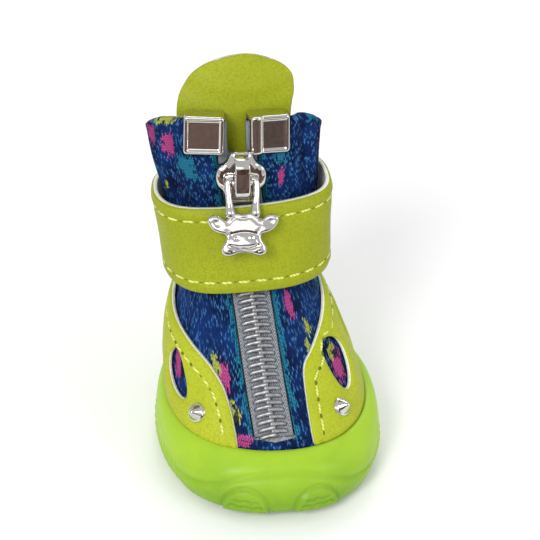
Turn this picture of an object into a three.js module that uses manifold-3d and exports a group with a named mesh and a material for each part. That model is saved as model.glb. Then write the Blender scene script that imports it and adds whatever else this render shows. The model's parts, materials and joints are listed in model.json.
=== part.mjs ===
// A small dog boot with a zip up its front, in millimetres.
// X is across the boot, Y runs from the toe (negative) to the heel (positive) and Z is up.
// The origin is on the ground, in the middle of the boot's box.
import * as THREE from 'three';
import { mergeVertices } from 'three/addons/utils/BufferGeometryUtils.js';
import Module from 'manifold-3d';

const wasm = await Module();
wasm.setup();

// ---------------------------------------------------------------- driving dimensions
// GAP is the air left between neighbouring pieces; FAR is beyond the boot on every side.
const SEGMENTS = 36;
const GAP = 0.35;
const FAR = 60;
const FRONT_HALF_Y = 15;

const WALL = 2.0;
const UPPER_LOW = 3.85;
const COLLAR_Z = 67.5;
const LEVEL_STEP = 4.4;

const RIM_TOP = 11.9;
const TOE_RISE = 0.6;
const SOLE_FLOOR = 3.5;
const GROOVE_DEPTH = 1.0;
const GROOVE_WIDTH = 1.6;
const GROOVE_WAVE = 1.1;

const INSOLE_THICK = 1.5;

// The collar's edge slants down towards the heel from this depth on.
const COLLAR_SLANT = { from: 10.8, slope: 0.64, reach: 20 };
const THROAT_HALF = 4.3;
const THROAT_LOW = 13.1;
const TAPE = { out: -0.7, in: -1.5, half: THROAT_HALF - GAP, low: 13.5, high: 67.0 };
// The tape parts in two above the slider.
const TAPE_SPLIT = { low: 57.0, high: 62.0, half: 1.9 };
const CHAIN = { out: 0.9, in: -0.4, half: 3.0, low: 13.5, high: 51.2 };

const TONGUE = {
  out: -4.1,
  in: -5.3,
  low: 15,
  high: 77.6,
  halfLow: 7.2,
  halfHigh: 11.1,
  corner: 7.5,
};

const PANEL = { out: 1.5, in: 0.4, low: 12, high: 33 };
const STRAP_THICK = 1.3;
const STRAP_TILT = Math.tan(THREE.MathUtils.degToRad(4.5));

const SLIDER_Z = 56.8;
const SLIDER = { width: 10, length: 11, back: -0.2, thick: 3.2, nose: 3.4 };
const BRIDGE = { width: 2.4, out: 3.0, wall: 0.9, low: -3.0, high: 5.2, eyeLow: -1.5, eyeHigh: 1.5 };

const PULL = {
  barRadius: 0.6,
  prongX: 2.6,
  prongWidth: 1.4,
  prongThick: 1.3,
  prongLong: 5.1,
  plateThick: 1.4,
  lean: 32,
};

const END_BOX = {
  width: 7.8,
  height: 7.6,
  depth: 5.2,
  corner: 0.5,
  bevel: 0.3,
  z: 64.9,
  around: 15.9,
  yaw: 6,
};

const STUD = { radius: 1.9, height: 2.2, around: 42, z: 15.8 };

// ---------------------------------------------------------------- section tables
// Each row is one horizontal section of the last: its height, its front and back on the
// centre line, its half width, how far its centre stands to the side, how square its
// oval is (2 is an ellipse) and how much fuller it is towards the toe.
const LAST = [
  { z: 3.8, front: -22.7, back: 25.5, half: 18.4, side: 0.0, square: 2.15, fuller: 0.06 },
  { z: 9.0, front: -22.2, back: 26.0, half: 18.9, side: -0.3, square: 2.15, fuller: 0.06 },
  { z: 12.5, front: -21.2, back: 26.3, half: 18.7, side: -0.6, square: 2.15, fuller: 0.06 },
  { z: 18.0, front: -15.6, back: 26.9, half: 17.8, side: -1.5, square: 2.15, fuller: 0.06 },
  { z: 24.0, front: -9.2, back: 26.9, half: 16.2, side: -2.4, square: 2.15, fuller: 0.06 },
  { z: 30.0, front: -3.0, back: 26.0, half: 14.0, side: -3.2, square: 2.15, fuller: 0.08 },
  { z: 35.0, front: 1.0, back: 25.2, half: 13.2, side: -3.9, square: 2.2, fuller: 0.12 },
  { z: 42.0, front: 3.6, back: 24.4, half: 13.7, side: -4.45, square: 2.25, fuller: 0.15 },
  { z: 50.0, front: 5.4, back: 24.0, half: 14.8, side: -5.0, square: 2.3, fuller: 0.16 },
  { z: 59.0, front: 7.0, back: 24.2, half: 15.8, side: -6.2, square: 2.4, fuller: 0.15 },
  { z: 67.5, front: 8.4, back: 24.8, half: 16.6, side: -6.6, square: 2.5, fuller: 0.12 },
  { z: 73.0, front: 10.4, back: 26.4, half: 16.8, side: -5.4, square: 2.4, fuller: 0.1 },
  { z: 80.0, front: 14.2, back: 29.6, half: 17.0, side: -3.9, square: 2.3, fuller: 0.1 },
];

// The cup sole from its tread edge, up the outer wall, over the rim and down to its floor.
const SOLE = [
  { z: 0.0, front: -25.6, back: 26.6, half: 19.6 },
  { z: 1.2, front: -28.0, back: 28.2, half: 21.3 },
  { z: 4.0, front: -29.0, back: 29.0, half: 22.3 },
  { z: 7.0, front: -28.5, back: 29.0, half: 22.5 },
  { z: 9.6, front: -26.7, back: 28.7, half: 22.2 },
  { z: 11.2, front: -24.6, back: 28.2, half: 21.6 },
  { z: RIM_TOP, front: -23.4, back: 27.4, half: 20.8 },
  { z: 11.4, front: -22.5, back: 26.8, half: 20.1 },
  { z: 9.0, front: -22.7, back: 26.4, half: 19.8 },
  { z: 4.2, front: -23.3, back: 26.1, half: 19.3 },
  { z: SOLE_FLOOR, front: -23.0, back: 25.8, half: 19.0 },
];

// The tread's line from toe to heel: toe spring, forefoot flat, arch, heel flat, heel edge.
const TREAD_LINE = [
  { y: -31, z: 3.0 },
  { y: -26, z: 1.6 },
  { y: -21, z: 0.5 },
  { y: -17, z: 0.0 },
  { y: -2, z: 0.0 },
  { y: 2, z: 0.8 },
  { y: 7, z: 0.8 },
  { y: 11, z: 0.0 },
  { y: 25, z: 0.0 },
  { y: 31, z: 0.9 },
];
const GROOVES = [
  { y: -17.5, half: 12 },
  { y: -12.0, half: 14 },
  { y: -6.5, half: 15 },
  { y: -1.0, half: 14 },
  { y: 12.0, half: 12.5 },
  { y: 17.5, half: 11.5 },
  { y: 23.0, half: 9 },
];

const STRAP = [
  { z: 35.6, front: -2.6, back: 27.0, half: 16.4, side: -3.6, square: 2.45, fuller: 0.1 },
  { z: 44.2, front: -1.0, back: 26.5, half: 17.2, side: -4.3, square: 2.45, fuller: 0.12 },
  { z: 52.8, front: 0.8, back: 26.2, half: 17.65, side: -5.0, square: 2.45, fuller: 0.12 },
];

// The side panel's top edge, by its bearing round the boot from the toe: how high it stands
// on the left (-X) and on the right.
const PANEL_EDGE = [
  { around: 19.5, left: 14.0, right: 14.0 },
  { around: 21.0, left: 17.5, right: 18.4 },
  { around: 24.5, left: 20.6, right: 22.6 },
  { around: 33.5, left: 23.2, right: 24.5 },
  { around: 48.0, left: 24.9, right: 26.8 },
  { around: 68.0, left: 26.4, right: 29.2 },
  { around: 90.0, left: 28.2, right: 30.6 },
  { around: 130.0, left: 30.8, right: 31.4 },
  { around: 180.0, left: 31.6, right: 31.6 },
];
const PANEL_HOLES = [
  { around: -62, z: 19.2, half: 4.3, tall: 3.4, turn: -8 },
  { around: 53, z: 21.2, half: 3.5, tall: 5.2, turn: 50 },
  { around: -104, z: 20.6, half: 3.1, tall: 4.0, turn: 0 },
  { around: 88, z: 23.4, half: 3.0, tall: 3.6, turn: 0 },
];

// ---------------------------------------------------------------- solids
function toSolid(geometry) {
  const plain = geometry.clone();
  plain.deleteAttribute('normal');
  plain.deleteAttribute('uv');
  const merged = mergeVertices(plain, 1e-4);
  return new wasm.Manifold(new wasm.Mesh({
    numProp: 3,
    vertProperties: new Float32Array(merged.attributes.position.array),
    triVerts: new Uint32Array(merged.index.array),
  }));
}

function toMesh(name, solid, material) {
  const cut = solid.getMesh();
  const geometry = new THREE.BufferGeometry();
  geometry.setAttribute('position', new THREE.BufferAttribute(cut.vertProperties, 3));
  geometry.setIndex(new THREE.BufferAttribute(cut.triVerts, 1));
  geometry.computeVertexNormals();
  const mesh = new THREE.Mesh(geometry, material);
  mesh.name = name;
  return mesh;
}

function finish(color, roughness, metalness = 0) {
  return new THREE.MeshStandardMaterial({ color, roughness, metalness });
}

// Skins a stack of rings that run anticlockwise seen from above, and caps both ends.
function loft(rings) {
  const around = rings[0].length;
  const points = rings.flat();
  const faces = [];
  for (let level = 0; level + 1 < rings.length; level += 1) {
    for (let i = 0; i < around; i += 1) {
      const a = level * around + i;
      const b = level * around + ((i + 1) % around);
      faces.push(a, b, b + around, a, b + around, a + around);
    }
  }
  const last = (rings.length - 1) * around;
  const caps = [{ first: 0, flip: true }, { first: last, flip: false }];
  for (const { first, flip } of caps) {
    const centre = new THREE.Vector3();
    for (let i = 0; i < around; i += 1) centre.addScaledVector(points[first + i], 1 / around);
    const hub = points.push(centre) - 1;
    for (let i = 0; i < around; i += 1) {
      const a = first + i;
      const b = first + ((i + 1) % around);
      faces.push(hub, flip ? b : a, flip ? a : b);
    }
  }
  const geometry = new THREE.BufferGeometry().setFromPoints(points);
  geometry.setIndex(faces);
  return geometry;
}

// ---------------------------------------------------------------- the last
// Reads a table at a height, on smooth curves through its rows.
function sectionAt(rows, z) {
  let i = 0;
  while (i < rows.length - 2 && z > rows[i + 1].z) i += 1;
  const before = rows[Math.max(i - 1, 0)];
  const low = rows[i];
  const high = rows[i + 1];
  const after = rows[Math.min(i + 2, rows.length - 1)];
  const span = high.z - low.z;
  const u = (z - low.z) / span;
  const section = { z };
  for (const key of ['front', 'back', 'half', 'side', 'square', 'fuller']) {
    const slopeLow = ((high[key] - before[key]) / (high.z - before.z)) * span;
    const slopeHigh = ((after[key] - low[key]) / (after.z - low.z)) * span;
    section[key] = low[key] * (1 - 3 * u * u + 2 * u ** 3)
      + high[key] * (3 * u * u - 2 * u ** 3)
      + slopeLow * (u - 2 * u * u + u ** 3)
      + slopeHigh * (u ** 3 - u * u);
  }
  return section;
}

// A point of a section, at a bearing in radians from the toe towards +X, moved out by offset.
function sectionPoint(section, bearing, offset = 0) {
  const power = 2 / section.square;
  const across = Math.sign(Math.sin(bearing)) * Math.abs(Math.sin(bearing)) ** power;
  const along = Math.sign(Math.cos(bearing)) * Math.abs(Math.cos(bearing)) ** power;
  const middle = (section.front + section.back) / 2;
  const depth = (section.back - section.front) / 2 + offset;
  const half = section.half + offset;
  return new THREE.Vector3(
    section.side + half * across * (1 + section.fuller * Math.cos(bearing)),
    middle - depth * along,
    section.z,
  );
}

function ring(section, offset = 0) {
  const points = [];
  for (let i = 0; i < SEGMENTS; i += 1) {
    points.push(sectionPoint(section, (i / SEGMENTS) * 2 * Math.PI, offset));
  }
  return points;
}

// The last as a filled form between two heights, grown or shrunk by offset. Its ends run on
// straight by extra, so that a smaller form can open a larger one at top and bottom.
function lastForm(offset, low, high, extra = 0) {
  const steps = Math.max(1, Math.round((high - low) / LEVEL_STEP));
  const rings = [];
  for (let i = 0; i <= steps; i += 1) {
    rings.push(ring(sectionAt(LAST, low + ((high - low) * i) / steps), offset));
  }
  if (extra > 0) {
    rings.unshift(rings[0].map((point) => point.clone().setZ(low - extra)));
    rings.push(rings.at(-1).map((point) => point.clone().setZ(high + extra)));
  }
  return toSolid(loft(rings));
}

// An open skin of the last between two offsets.
function lastSkin(out, inside, low, high) {
  return lastForm(out, low, high).subtract(lastForm(inside, low, high, GAP));
}

function extrudeBack(shape, backY, depth) {
  const geometry = new THREE.ExtrudeGeometry(shape, { depth, bevelEnabled: false });
  geometry.rotateX(Math.PI / 2);
  geometry.translate(0, backY, 0);
  return toSolid(geometry);
}

function extrudeAcross(shape, halfWidth) {
  const geometry = new THREE.ExtrudeGeometry(shape, { depth: 2 * halfWidth, bevelEnabled: false });
  geometry.applyMatrix4(new THREE.Matrix4().set(0, 0, 1, -halfWidth, 1, 0, 0, 0, 0, 1, 0, 0, 0, 0, 0, 1));
  return toSolid(geometry);
}

// A strip that follows the boot's front centre line, as a cutter for the front half only.
function frontStrip(low, high, halfAt) {
  const steps = 10;
  const left = [];
  const right = [];
  for (let i = 0; i <= steps; i += 1) {
    const z = low + ((high - low) * i) / steps;
    const { side } = sectionAt(LAST, z);
    left.push(new THREE.Vector2(side - halfAt(z), z));
    right.push(new THREE.Vector2(side + halfAt(z), z));
  }
  return extrudeBack(new THREE.Shape([...right, ...left.reverse()]), FRONT_HALF_Y, FAR);
}

// ---------------------------------------------------------------- sole and insole
function toeWeight(bearing) {
  return Math.max(0, Math.cos(bearing)) ** 3;
}

function soleRing(row) {
  const { square, fuller } = LAST[0];
  const section = { ...row, side: 0, square, fuller };
  const share = (row.z - SOLE_FLOOR) / (RIM_TOP - SOLE_FLOOR);
  const rise = TOE_RISE * Math.max(0, share);
  return ring(section).map((point, i) => {
    point.z += rise * toeWeight((i / SEGMENTS) * 2 * Math.PI);
    return point;
  });
}

function groove({ y, half }) {
  const steps = 8;
  const top = [];
  const bottom = [];
  for (let i = 0; i <= steps; i += 1) {
    const x = -half + (2 * half * i) / steps;
    const wave = GROOVE_WAVE * (i % 2 ? 1 : -1);
    bottom.push(new THREE.Vector2(x, y + wave - GROOVE_WIDTH / 2));
    top.push(new THREE.Vector2(x, y + wave + GROOVE_WIDTH / 2));
  }
  const shape = new THREE.Shape([...bottom, ...top.reverse()]);
  const geometry = new THREE.ExtrudeGeometry(shape, { depth: 2 * GROOVE_DEPTH, bevelEnabled: false });
  geometry.translate(0, 0, -GROOVE_DEPTH);
  return toSolid(geometry);
}

function outsole() {
  const under = TREAD_LINE.map(({ y, z }) => new THREE.Vector2(y, z));
  under.push(new THREE.Vector2(FAR, -GAP), new THREE.Vector2(-FAR, -GAP));
  let solid = toSolid(loft(SOLE.map(soleRing)));
  solid = solid.subtract(extrudeAcross(new THREE.Shape(under), FAR));
  for (const row of GROOVES) solid = solid.subtract(groove(row));
  return toMesh('outsole', solid, finish(0x96cb30, 0.35));
}

function insole() {
  const inset = -(WALL + GAP);
  const low = SOLE_FLOOR + GAP;
  const rings = [low, low + INSOLE_THICK].map((z) => ring(sectionAt(LAST, z), inset));
  return toMesh('insole', toSolid(loft(rings)), finish(0xb9bcc0, 0.9));
}

// ---------------------------------------------------------------- upper and tongue
function upper() {
  const throat = frontStrip(THROAT_LOW, COLLAR_Z + 1, () => THROAT_HALF);
  const { from, slope, reach } = COLLAR_SLANT;
  const slant = extrudeAcross(new THREE.Shape([
    new THREE.Vector2(from, COLLAR_Z),
    new THREE.Vector2(from + reach, COLLAR_Z - slope * reach),
    new THREE.Vector2(from + reach, COLLAR_Z + 1),
    new THREE.Vector2(from, COLLAR_Z + 1),
  ]), FAR);
  const solid = lastSkin(0, -WALL, UPPER_LOW, COLLAR_Z).subtract(throat).subtract(slant);
  return toMesh('upper', solid, finish(0x17408f, 0.85));
}

function tongue() {
  const { low, high, halfLow, halfHigh, corner } = TONGUE;
  const half = (z) => {
    const share = THREE.MathUtils.smoothstep(z, 40, COLLAR_Z);
    const over = Math.max(0, z - (high - corner));
    return THREE.MathUtils.lerp(halfLow, halfHigh, share) - corner + Math.sqrt(corner ** 2 - over ** 2);
  };
  const left = [];
  const right = [];
  const levels = [];
  for (let z = low; z < high - corner - 1; z += 5) levels.push(z);
  for (let i = 0; i <= 5; i += 1) {
    levels.push(high - corner + corner * Math.sin((i / 5) * 0.5 * Math.PI));
  }
  for (const z of levels) {
    const { side } = sectionAt(LAST, z);
    left.push(new THREE.Vector2(side - half(z), z));
    right.push(new THREE.Vector2(side + half(z), z));
  }
  const outline = extrudeBack(new THREE.Shape([...right, ...left.reverse()]), FAR / 2, 2 * FAR);
  const middles = levels.map((z) => {
    const { front, back } = sectionAt(LAST, z);
    return new THREE.Vector2((front + back) / 2 - GAP, z);
  });
  const frontOnly = extrudeAcross(new THREE.Shape([
    new THREE.Vector2(-FAR, low - 1),
    new THREE.Vector2(middles[0].x, low - 1),
    ...middles,
    new THREE.Vector2(middles.at(-1).x, high + 1),
    new THREE.Vector2(-FAR, high + 1),
  ]), FAR);
  const skin = lastSkin(TONGUE.out, TONGUE.in, low - 1, LAST.at(-1).z);
  return toMesh('tongue', skin.intersect(outline).intersect(frontOnly), finish(0xa8b820, 0.6));
}

// ---------------------------------------------------------------- side panel and strap
function edgeHeight(degrees) {
  const around = Math.min(degrees, 360 - degrees);
  const side = degrees > 180 ? 'left' : 'right';
  let i = 0;
  while (i < PANEL_EDGE.length - 2 && around > PANEL_EDGE[i + 1].around) i += 1;
  const low = PANEL_EDGE[i];
  const high = PANEL_EDGE[i + 1];
  return THREE.MathUtils.mapLinear(around, low.around, high.around, low[side], high[side]);
}

// A wall round the boot that runs from the rim up to the panel's edge, open at the toe.
function panelCutter() {
  const bearings = [
    22, 22.7, 23.5, 25, 27, 29, 32, 36, 40, 45, 50, 56, 62, 70, 80, 90, 105, 120, 150, 180,
  ];
  const mirrored = bearings.slice(0, -1).reverse().map((value) => 360 - value);
  const rings = [...bearings, ...mirrored].map((degrees) => {
    const bearing = THREE.MathUtils.degToRad(degrees);
    const foot = RIM_TOP + GAP + TOE_RISE * toeWeight(bearing) + 0.1;
    const top = edgeHeight(degrees);
    return [
      sectionPoint(sectionAt(LAST, foot), bearing, -3),
      sectionPoint(sectionAt(LAST, top), bearing, -3),
      sectionPoint(sectionAt(LAST, top), bearing, 6),
      sectionPoint(sectionAt(LAST, foot), bearing, 6),
    ];
  });
  return toSolid(loft(rings));
}

// Turns a shape drawn on XY so that its Z points out of the last at a bearing and height.
function facing(degrees, z, offset) {
  const bearing = THREE.MathUtils.degToRad(degrees);
  const step = 0.02;
  const here = sectionPoint(sectionAt(LAST, z), bearing, offset);
  const across = sectionPoint(sectionAt(LAST, z), bearing + step, offset).sub(here).normalize();
  const up = sectionPoint(sectionAt(LAST, z + 1), bearing, offset).sub(here);
  const out = new THREE.Vector3().crossVectors(across, up).normalize();
  up.crossVectors(out, across);
  return new THREE.Matrix4().makeBasis(across, up, out).setPosition(here);
}

function panelHole(row) {
  const geometry = new THREE.CylinderGeometry(1, 1, 8, 18);
  geometry.rotateX(Math.PI / 2);
  geometry.scale(row.half, row.tall, 1);
  geometry.rotateZ(THREE.MathUtils.degToRad(row.turn));
  geometry.applyMatrix4(facing(row.around, row.z, 0));
  return toSolid(geometry);
}

function sidePanel() {
  let solid = lastSkin(PANEL.out, PANEL.in, PANEL.low, PANEL.high).intersect(panelCutter());
  for (const row of PANEL_HOLES) solid = solid.subtract(panelHole(row));
  return toMesh('side_panel', solid, finish(0xbcc828, 0.5));
}

function strap() {
  const steps = 3;
  const low = STRAP[0].z;
  const high = STRAP.at(-1).z;
  const tilted = (offset, extra) => {
    const rings = [];
    for (let i = 0; i <= steps; i += 1) {
      const section = sectionAt(STRAP, low + ((high - low) * i) / steps);
      const end = i === 0 ? -extra : i === steps ? extra : 0;
      rings.push(ring(section, offset).map((point) => {
        point.z += (point.x - section.side) * STRAP_TILT + end;
        return point;
      }));
    }
    return toSolid(loft(rings));
  };
  const solid = tilted(0, 0).subtract(tilted(-STRAP_THICK, 1));
  return toMesh('strap', solid, finish(0xa8b820, 0.6));
}

// ---------------------------------------------------------------- zip
function zipTape() {
  const strip = frontStrip(TAPE.low, TAPE.high, () => TAPE.half);
  const split = frontStrip(TAPE_SPLIT.low, COLLAR_Z + 1, (z) => (
    TAPE_SPLIT.half * Math.max(0.05, THREE.MathUtils.smoothstep(z, TAPE_SPLIT.low, TAPE_SPLIT.high))
  ));
  const skin = lastSkin(TAPE.out, TAPE.in, TAPE.low - 1, COLLAR_Z + 1);
  return toMesh('zip_tape', skin.intersect(strip).subtract(split), finish(0x8d9296, 0.9));
}

function zipChain() {
  const strip = frontStrip(CHAIN.low, CHAIN.high, () => CHAIN.half);
  const skin = lastSkin(CHAIN.out, CHAIN.in, CHAIN.low - 1, CHAIN.high + 1);
  return toMesh('zip_chain', skin.intersect(strip), finish(0xb4b8bc, 0.35, 0.7));
}

function frontSlope(z) {
  return Math.atan2(sectionAt(LAST, z + 2).front - sectionAt(LAST, z - 2).front, 4);
}

// The slider stands in its own frame: Z up the chain, -Y out of the boot.
function zipSlider() {
  const w = SLIDER.width / 2;
  const l = SLIDER.length / 2;
  const nose = SLIDER.nose / 2;
  const outline = new THREE.Shape();
  outline.moveTo(-0.62 * w, -l);
  outline.lineTo(0.62 * w, -l);
  outline.bezierCurveTo(0.68 * w, -0.3 * l, w, -0.25 * l, w, 0.15 * l);
  outline.bezierCurveTo(w, 0.5 * l, 0.6 * w, 0.58 * l, nose, 0.6 * l);
  outline.lineTo(nose, l);
  outline.lineTo(-nose, l);
  outline.lineTo(-nose, 0.6 * l);
  outline.bezierCurveTo(-0.6 * w, 0.58 * l, -w, 0.5 * l, -w, 0.15 * l);
  outline.bezierCurveTo(-w, -0.25 * l, -0.68 * w, -0.3 * l, -0.62 * w, -l);
  const settings = { depth: SLIDER.thick, bevelEnabled: false, curveSegments: 6 };
  const body = new THREE.ExtrudeGeometry(outline, settings);
  body.rotateX(Math.PI / 2);
  body.translate(0, SLIDER.back, 0);

  const face = SLIDER.back - SLIDER.thick;
  const { low, high, out, wall, eyeLow, eyeHigh } = BRIDGE;
  const profile = new THREE.Shape();
  profile.moveTo(face + 1, low);
  profile.lineTo(face - 0.45 * out, low);
  profile.quadraticCurveTo(face - out, low, face - out, low + 1.5);
  profile.lineTo(face - out, high - 3);
  profile.quadraticCurveTo(face - out, high, face - 0.2 * out, high);
  profile.lineTo(face + 1, high);
  const eyeDepth = out - wall;
  const eye = new THREE.BoxGeometry(2 * BRIDGE.width, eyeDepth, eyeHigh - eyeLow);
  eye.translate(0, face - eyeDepth / 2, (eyeLow + eyeHigh) / 2);
  const solid = toSolid(body).add(extrudeAcross(profile, BRIDGE.width / 2)).subtract(toSolid(eye));
  const mesh = toMesh('zip_slider', solid, finish(0xc8c8c8, 0.12, 1));
  const { side, front } = sectionAt(LAST, SLIDER_Z);
  mesh.position.set(side, front, SLIDER_Z);
  mesh.rotation.x = -frontSlope(SLIDER_Z);
  return mesh;
}

// The pull hangs from its cross bar at the origin, down -Z. It is one plain cast plate of a
// calf's head: two prongs, two horns, two ears and a muzzle.
function zipPull(slider) {
  const half = [
    [0, -5.9], [1.5, -5.7], [2.7, -6.4], [3.3, -7.2], [4.6, -6.2], [6.2, -6.2], [6.8, -7.2],
    [5.9, -8.7], [4.4, -9.5], [3.3, -9.7], [3.5, -10.9], [4.3, -12.4], [4.1, -13.5],
    [3.0, -13.9], [1.5, -13.4], [0, -13.1],
  ].map(([x, z]) => new THREE.Vector2(x, z));
  const left = half.slice(1, -1).reverse().map(({ x, y }) => new THREE.Vector2(-x, y));
  const head = new THREE.Shape([...half, ...left].reverse());
  let solid = extrudeBack(head, PULL.plateThick / 2, PULL.plateThick);
  for (const side of [-1, 1]) {
    const prong = new THREE.BoxGeometry(PULL.prongWidth, PULL.prongThick, PULL.prongLong);
    prong.translate(side * PULL.prongX, 0, -PULL.prongLong / 2);
    const eye = new THREE.CylinderGeometry(PULL.prongThick / 2, PULL.prongThick / 2, PULL.prongWidth, 12);
    eye.rotateZ(Math.PI / 2);
    eye.translate(side * PULL.prongX, 0, 0);
    const horn = new THREE.SphereGeometry(1, 12, 8);
    horn.scale(1.15, 0.95, 1.6);
    horn.translate(side * 2.4, 0, -PULL.prongLong - 0.1);
    solid = solid.add(toSolid(prong)).add(toSolid(eye)).add(toSolid(horn));
  }
  const bar = new THREE.CylinderGeometry(PULL.barRadius, PULL.barRadius, 2 * PULL.prongX, 12);
  bar.rotateZ(Math.PI / 2);
  solid = solid.add(toSolid(bar));
  const mesh = toMesh('zip_pull', solid, finish(0xc8c8c8, 0.12, 1));
  const face = SLIDER.back - SLIDER.thick;
  const barDepth = face - (BRIDGE.out - BRIDGE.wall) / 2;
  const place = new THREE.Vector3(0, barDepth, 0).applyEuler(slider.rotation).add(slider.position);
  mesh.position.copy(place);
  mesh.rotation.x = -THREE.MathUtils.degToRad(PULL.lean);
  return mesh;
}

// A folded metal box that clips over the collar edge, on one side of the zip.
function zipEnd(side) {
  const { width, height, depth, corner, bevel } = END_BOX;
  const w = width / 2 - bevel;
  const h = height / 2 - bevel;
  const outline = new THREE.Shape();
  outline.moveTo(-w + corner, -h);
  outline.lineTo(w - corner, -h);
  outline.quadraticCurveTo(w, -h, w, -h + corner);
  outline.lineTo(w, h - corner);
  outline.quadraticCurveTo(w, h, w - corner, h);
  outline.lineTo(-w + corner, h);
  outline.quadraticCurveTo(-w, h, -w, h - corner);
  outline.lineTo(-w, -h + corner);
  outline.quadraticCurveTo(-w, -h, -w + corner, -h);
  const geometry = new THREE.ExtrudeGeometry(outline, {
    depth: depth - 2 * bevel,
    bevelThickness: bevel,
    bevelSize: bevel,
    bevelSegments: 1,
    curveSegments: 3,
  });
  geometry.translate(0, 0, bevel - depth / 2);
  geometry.rotateX(Math.PI / 2 - frontSlope(END_BOX.z));
  geometry.rotateZ(side * THREE.MathUtils.degToRad(END_BOX.yaw));
  const around = THREE.MathUtils.degToRad(END_BOX.around) * side;
  const middle = sectionPoint(sectionAt(LAST, END_BOX.z), around, -WALL / 2);
  geometry.translate(middle.x, middle.y, middle.z);
  const wall = lastSkin(GAP, -(WALL + GAP), END_BOX.z - 8, COLLAR_Z + GAP);
  const name = side < 0 ? 'zip_end_left' : 'zip_end_right';
  return toMesh(name, toSolid(geometry).subtract(wall), finish(0xc8c8c8, 0.12, 1));
}

// ---------------------------------------------------------------- studs
function stud(side) {
  const profile = [
    new THREE.Vector2(0, 0),
    new THREE.Vector2(STUD.radius, 0),
    new THREE.Vector2(STUD.radius, 0.45),
    new THREE.Vector2(0.35, STUD.height - 0.2),
    new THREE.Vector2(0, STUD.height),
  ];
  const geometry = new THREE.LatheGeometry(profile, 20);
  geometry.rotateX(Math.PI / 2);
  geometry.translate(0, 0, GAP);
  const name = side < 0 ? 'stud_left' : 'stud_right';
  const mesh = toMesh(name, toSolid(geometry), finish(0xc8c8c8, 0.12, 1));
  mesh.applyMatrix4(facing(STUD.around * side, STUD.z, PANEL.out));
  return mesh;
}

// ---------------------------------------------------------------- assembly
const boot = new THREE.Group();
const slider = zipSlider();
boot.add(outsole(), insole(), upper(), tongue(), sidePanel(), strap());
boot.add(zipTape(), zipChain(), slider, zipPull(slider), zipEnd(-1), zipEnd(1));
boot.add(stud(-1), stud(1));

export default boot;
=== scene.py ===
"""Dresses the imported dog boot: cup sole, printed knit upper, leather-look parts and chrome zip."""
import json
import logging
import math
from dataclasses import dataclass
from enum import Enum
from typing import Callable, Sequence

import bmesh
import bpy
import numpy as np
from mathutils import Euler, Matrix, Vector
from mathutils.geometry import delaunay_2d_cdt


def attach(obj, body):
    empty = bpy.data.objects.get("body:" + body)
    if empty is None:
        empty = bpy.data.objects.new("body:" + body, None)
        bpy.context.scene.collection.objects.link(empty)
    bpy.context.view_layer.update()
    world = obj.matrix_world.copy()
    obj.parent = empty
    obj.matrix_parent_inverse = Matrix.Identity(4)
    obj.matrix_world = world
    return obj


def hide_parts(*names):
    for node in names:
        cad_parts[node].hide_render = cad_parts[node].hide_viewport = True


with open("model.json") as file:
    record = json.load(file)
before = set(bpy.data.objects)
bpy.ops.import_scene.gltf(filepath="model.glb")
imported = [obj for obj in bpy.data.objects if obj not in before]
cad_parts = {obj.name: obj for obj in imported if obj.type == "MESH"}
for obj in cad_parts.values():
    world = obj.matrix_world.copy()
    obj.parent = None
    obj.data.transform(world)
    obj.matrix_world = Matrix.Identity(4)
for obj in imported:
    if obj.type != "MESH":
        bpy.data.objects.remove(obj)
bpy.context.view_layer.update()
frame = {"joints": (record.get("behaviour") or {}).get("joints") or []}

LOG = logging.getLogger("dog_boot")
MM = 0.001
FULL_TURN = 2.0 * math.pi
BOOT, PULL = "boot", "pull"

Array = np.ndarray
Tree, Node = bpy.types.NodeTree, bpy.types.Node
Piece, Material = bpy.types.Object, bpy.types.Material


# ------------------------------------------------------------------ small tools
def linear(code: str) -> tuple[float, float, float, float]:
    """Turns an sRGB colour of six hex digits into linear red, green, blue and alpha."""
    parts = [int(code[i:i + 2], 16) / 255.0 for i in (0, 2, 4)]
    light = [c / 12.92 if c <= 0.04045 else ((c + 0.055) / 1.055) ** 2.4 for c in parts]
    return (*light, 1.0)


def node(tree: Tree, kind: str, inputs: dict | None = None, **settings: object) -> Node:
    """Adds one node with its settings, values and links.

    Args:
        tree: The node tree.
        kind: Blender's name for the node type.
        inputs: Socket name or number to a value, an output socket, or a node for its first output.
        settings: Properties of the node.

    Returns:
        The new node.
    """
    made = tree.nodes.new(kind)
    for key, value in settings.items():
        setattr(made, key, value)
    for key, value in (inputs or {}).items():
        if isinstance(value, bpy.types.Node):
            value = value.outputs[0]
        if isinstance(value, bpy.types.NodeSocket):
            tree.links.new(value, made.inputs[key])
        else:
            made.inputs[key].default_value = value
    return made


def smooth(low: float, high: float, value: Array | float) -> Array:
    """Eases from 0 at low to 1 at high."""
    share = np.clip((np.asarray(value, float) - low) / (high - low), 0.0, 1.0)
    return share * share * (3.0 - 2.0 * share)


def bell(value: Array | float, width: float) -> Array:
    """A soft hump of height 1 at 0, about width wide to each side."""
    return np.exp(-np.square(np.asarray(value, float) / width))


def circle(count: int) -> Array:
    """Spaces angles evenly round a full turn."""
    return np.linspace(0.0, FULL_TURN, count, endpoint=False)


def bowed(value: Array, power: float) -> Array:
    """Bends a sine or cosine, keeping its sign, so that a circle turns squarer."""
    return np.sign(value) * np.abs(value) ** power


def edge_drop(share: Array) -> Array:
    """Drops from 0 inside a rounded edge to 1 at the edge, as a quarter circle."""
    return 1.0 - np.sqrt(1.0 - (1.0 - np.clip(share, 0.0, 1.0)) ** 2)


def lengths(line: Array) -> Array:
    """Gives the distance run along a line at each of its points."""
    return np.concatenate([[0.0], np.cumsum(np.linalg.norm(np.diff(line, axis=0), axis=1))])


def side_name(side: int) -> str:
    """Names the side at -X or +X."""
    return "left" if side < 0 else "right"


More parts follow.
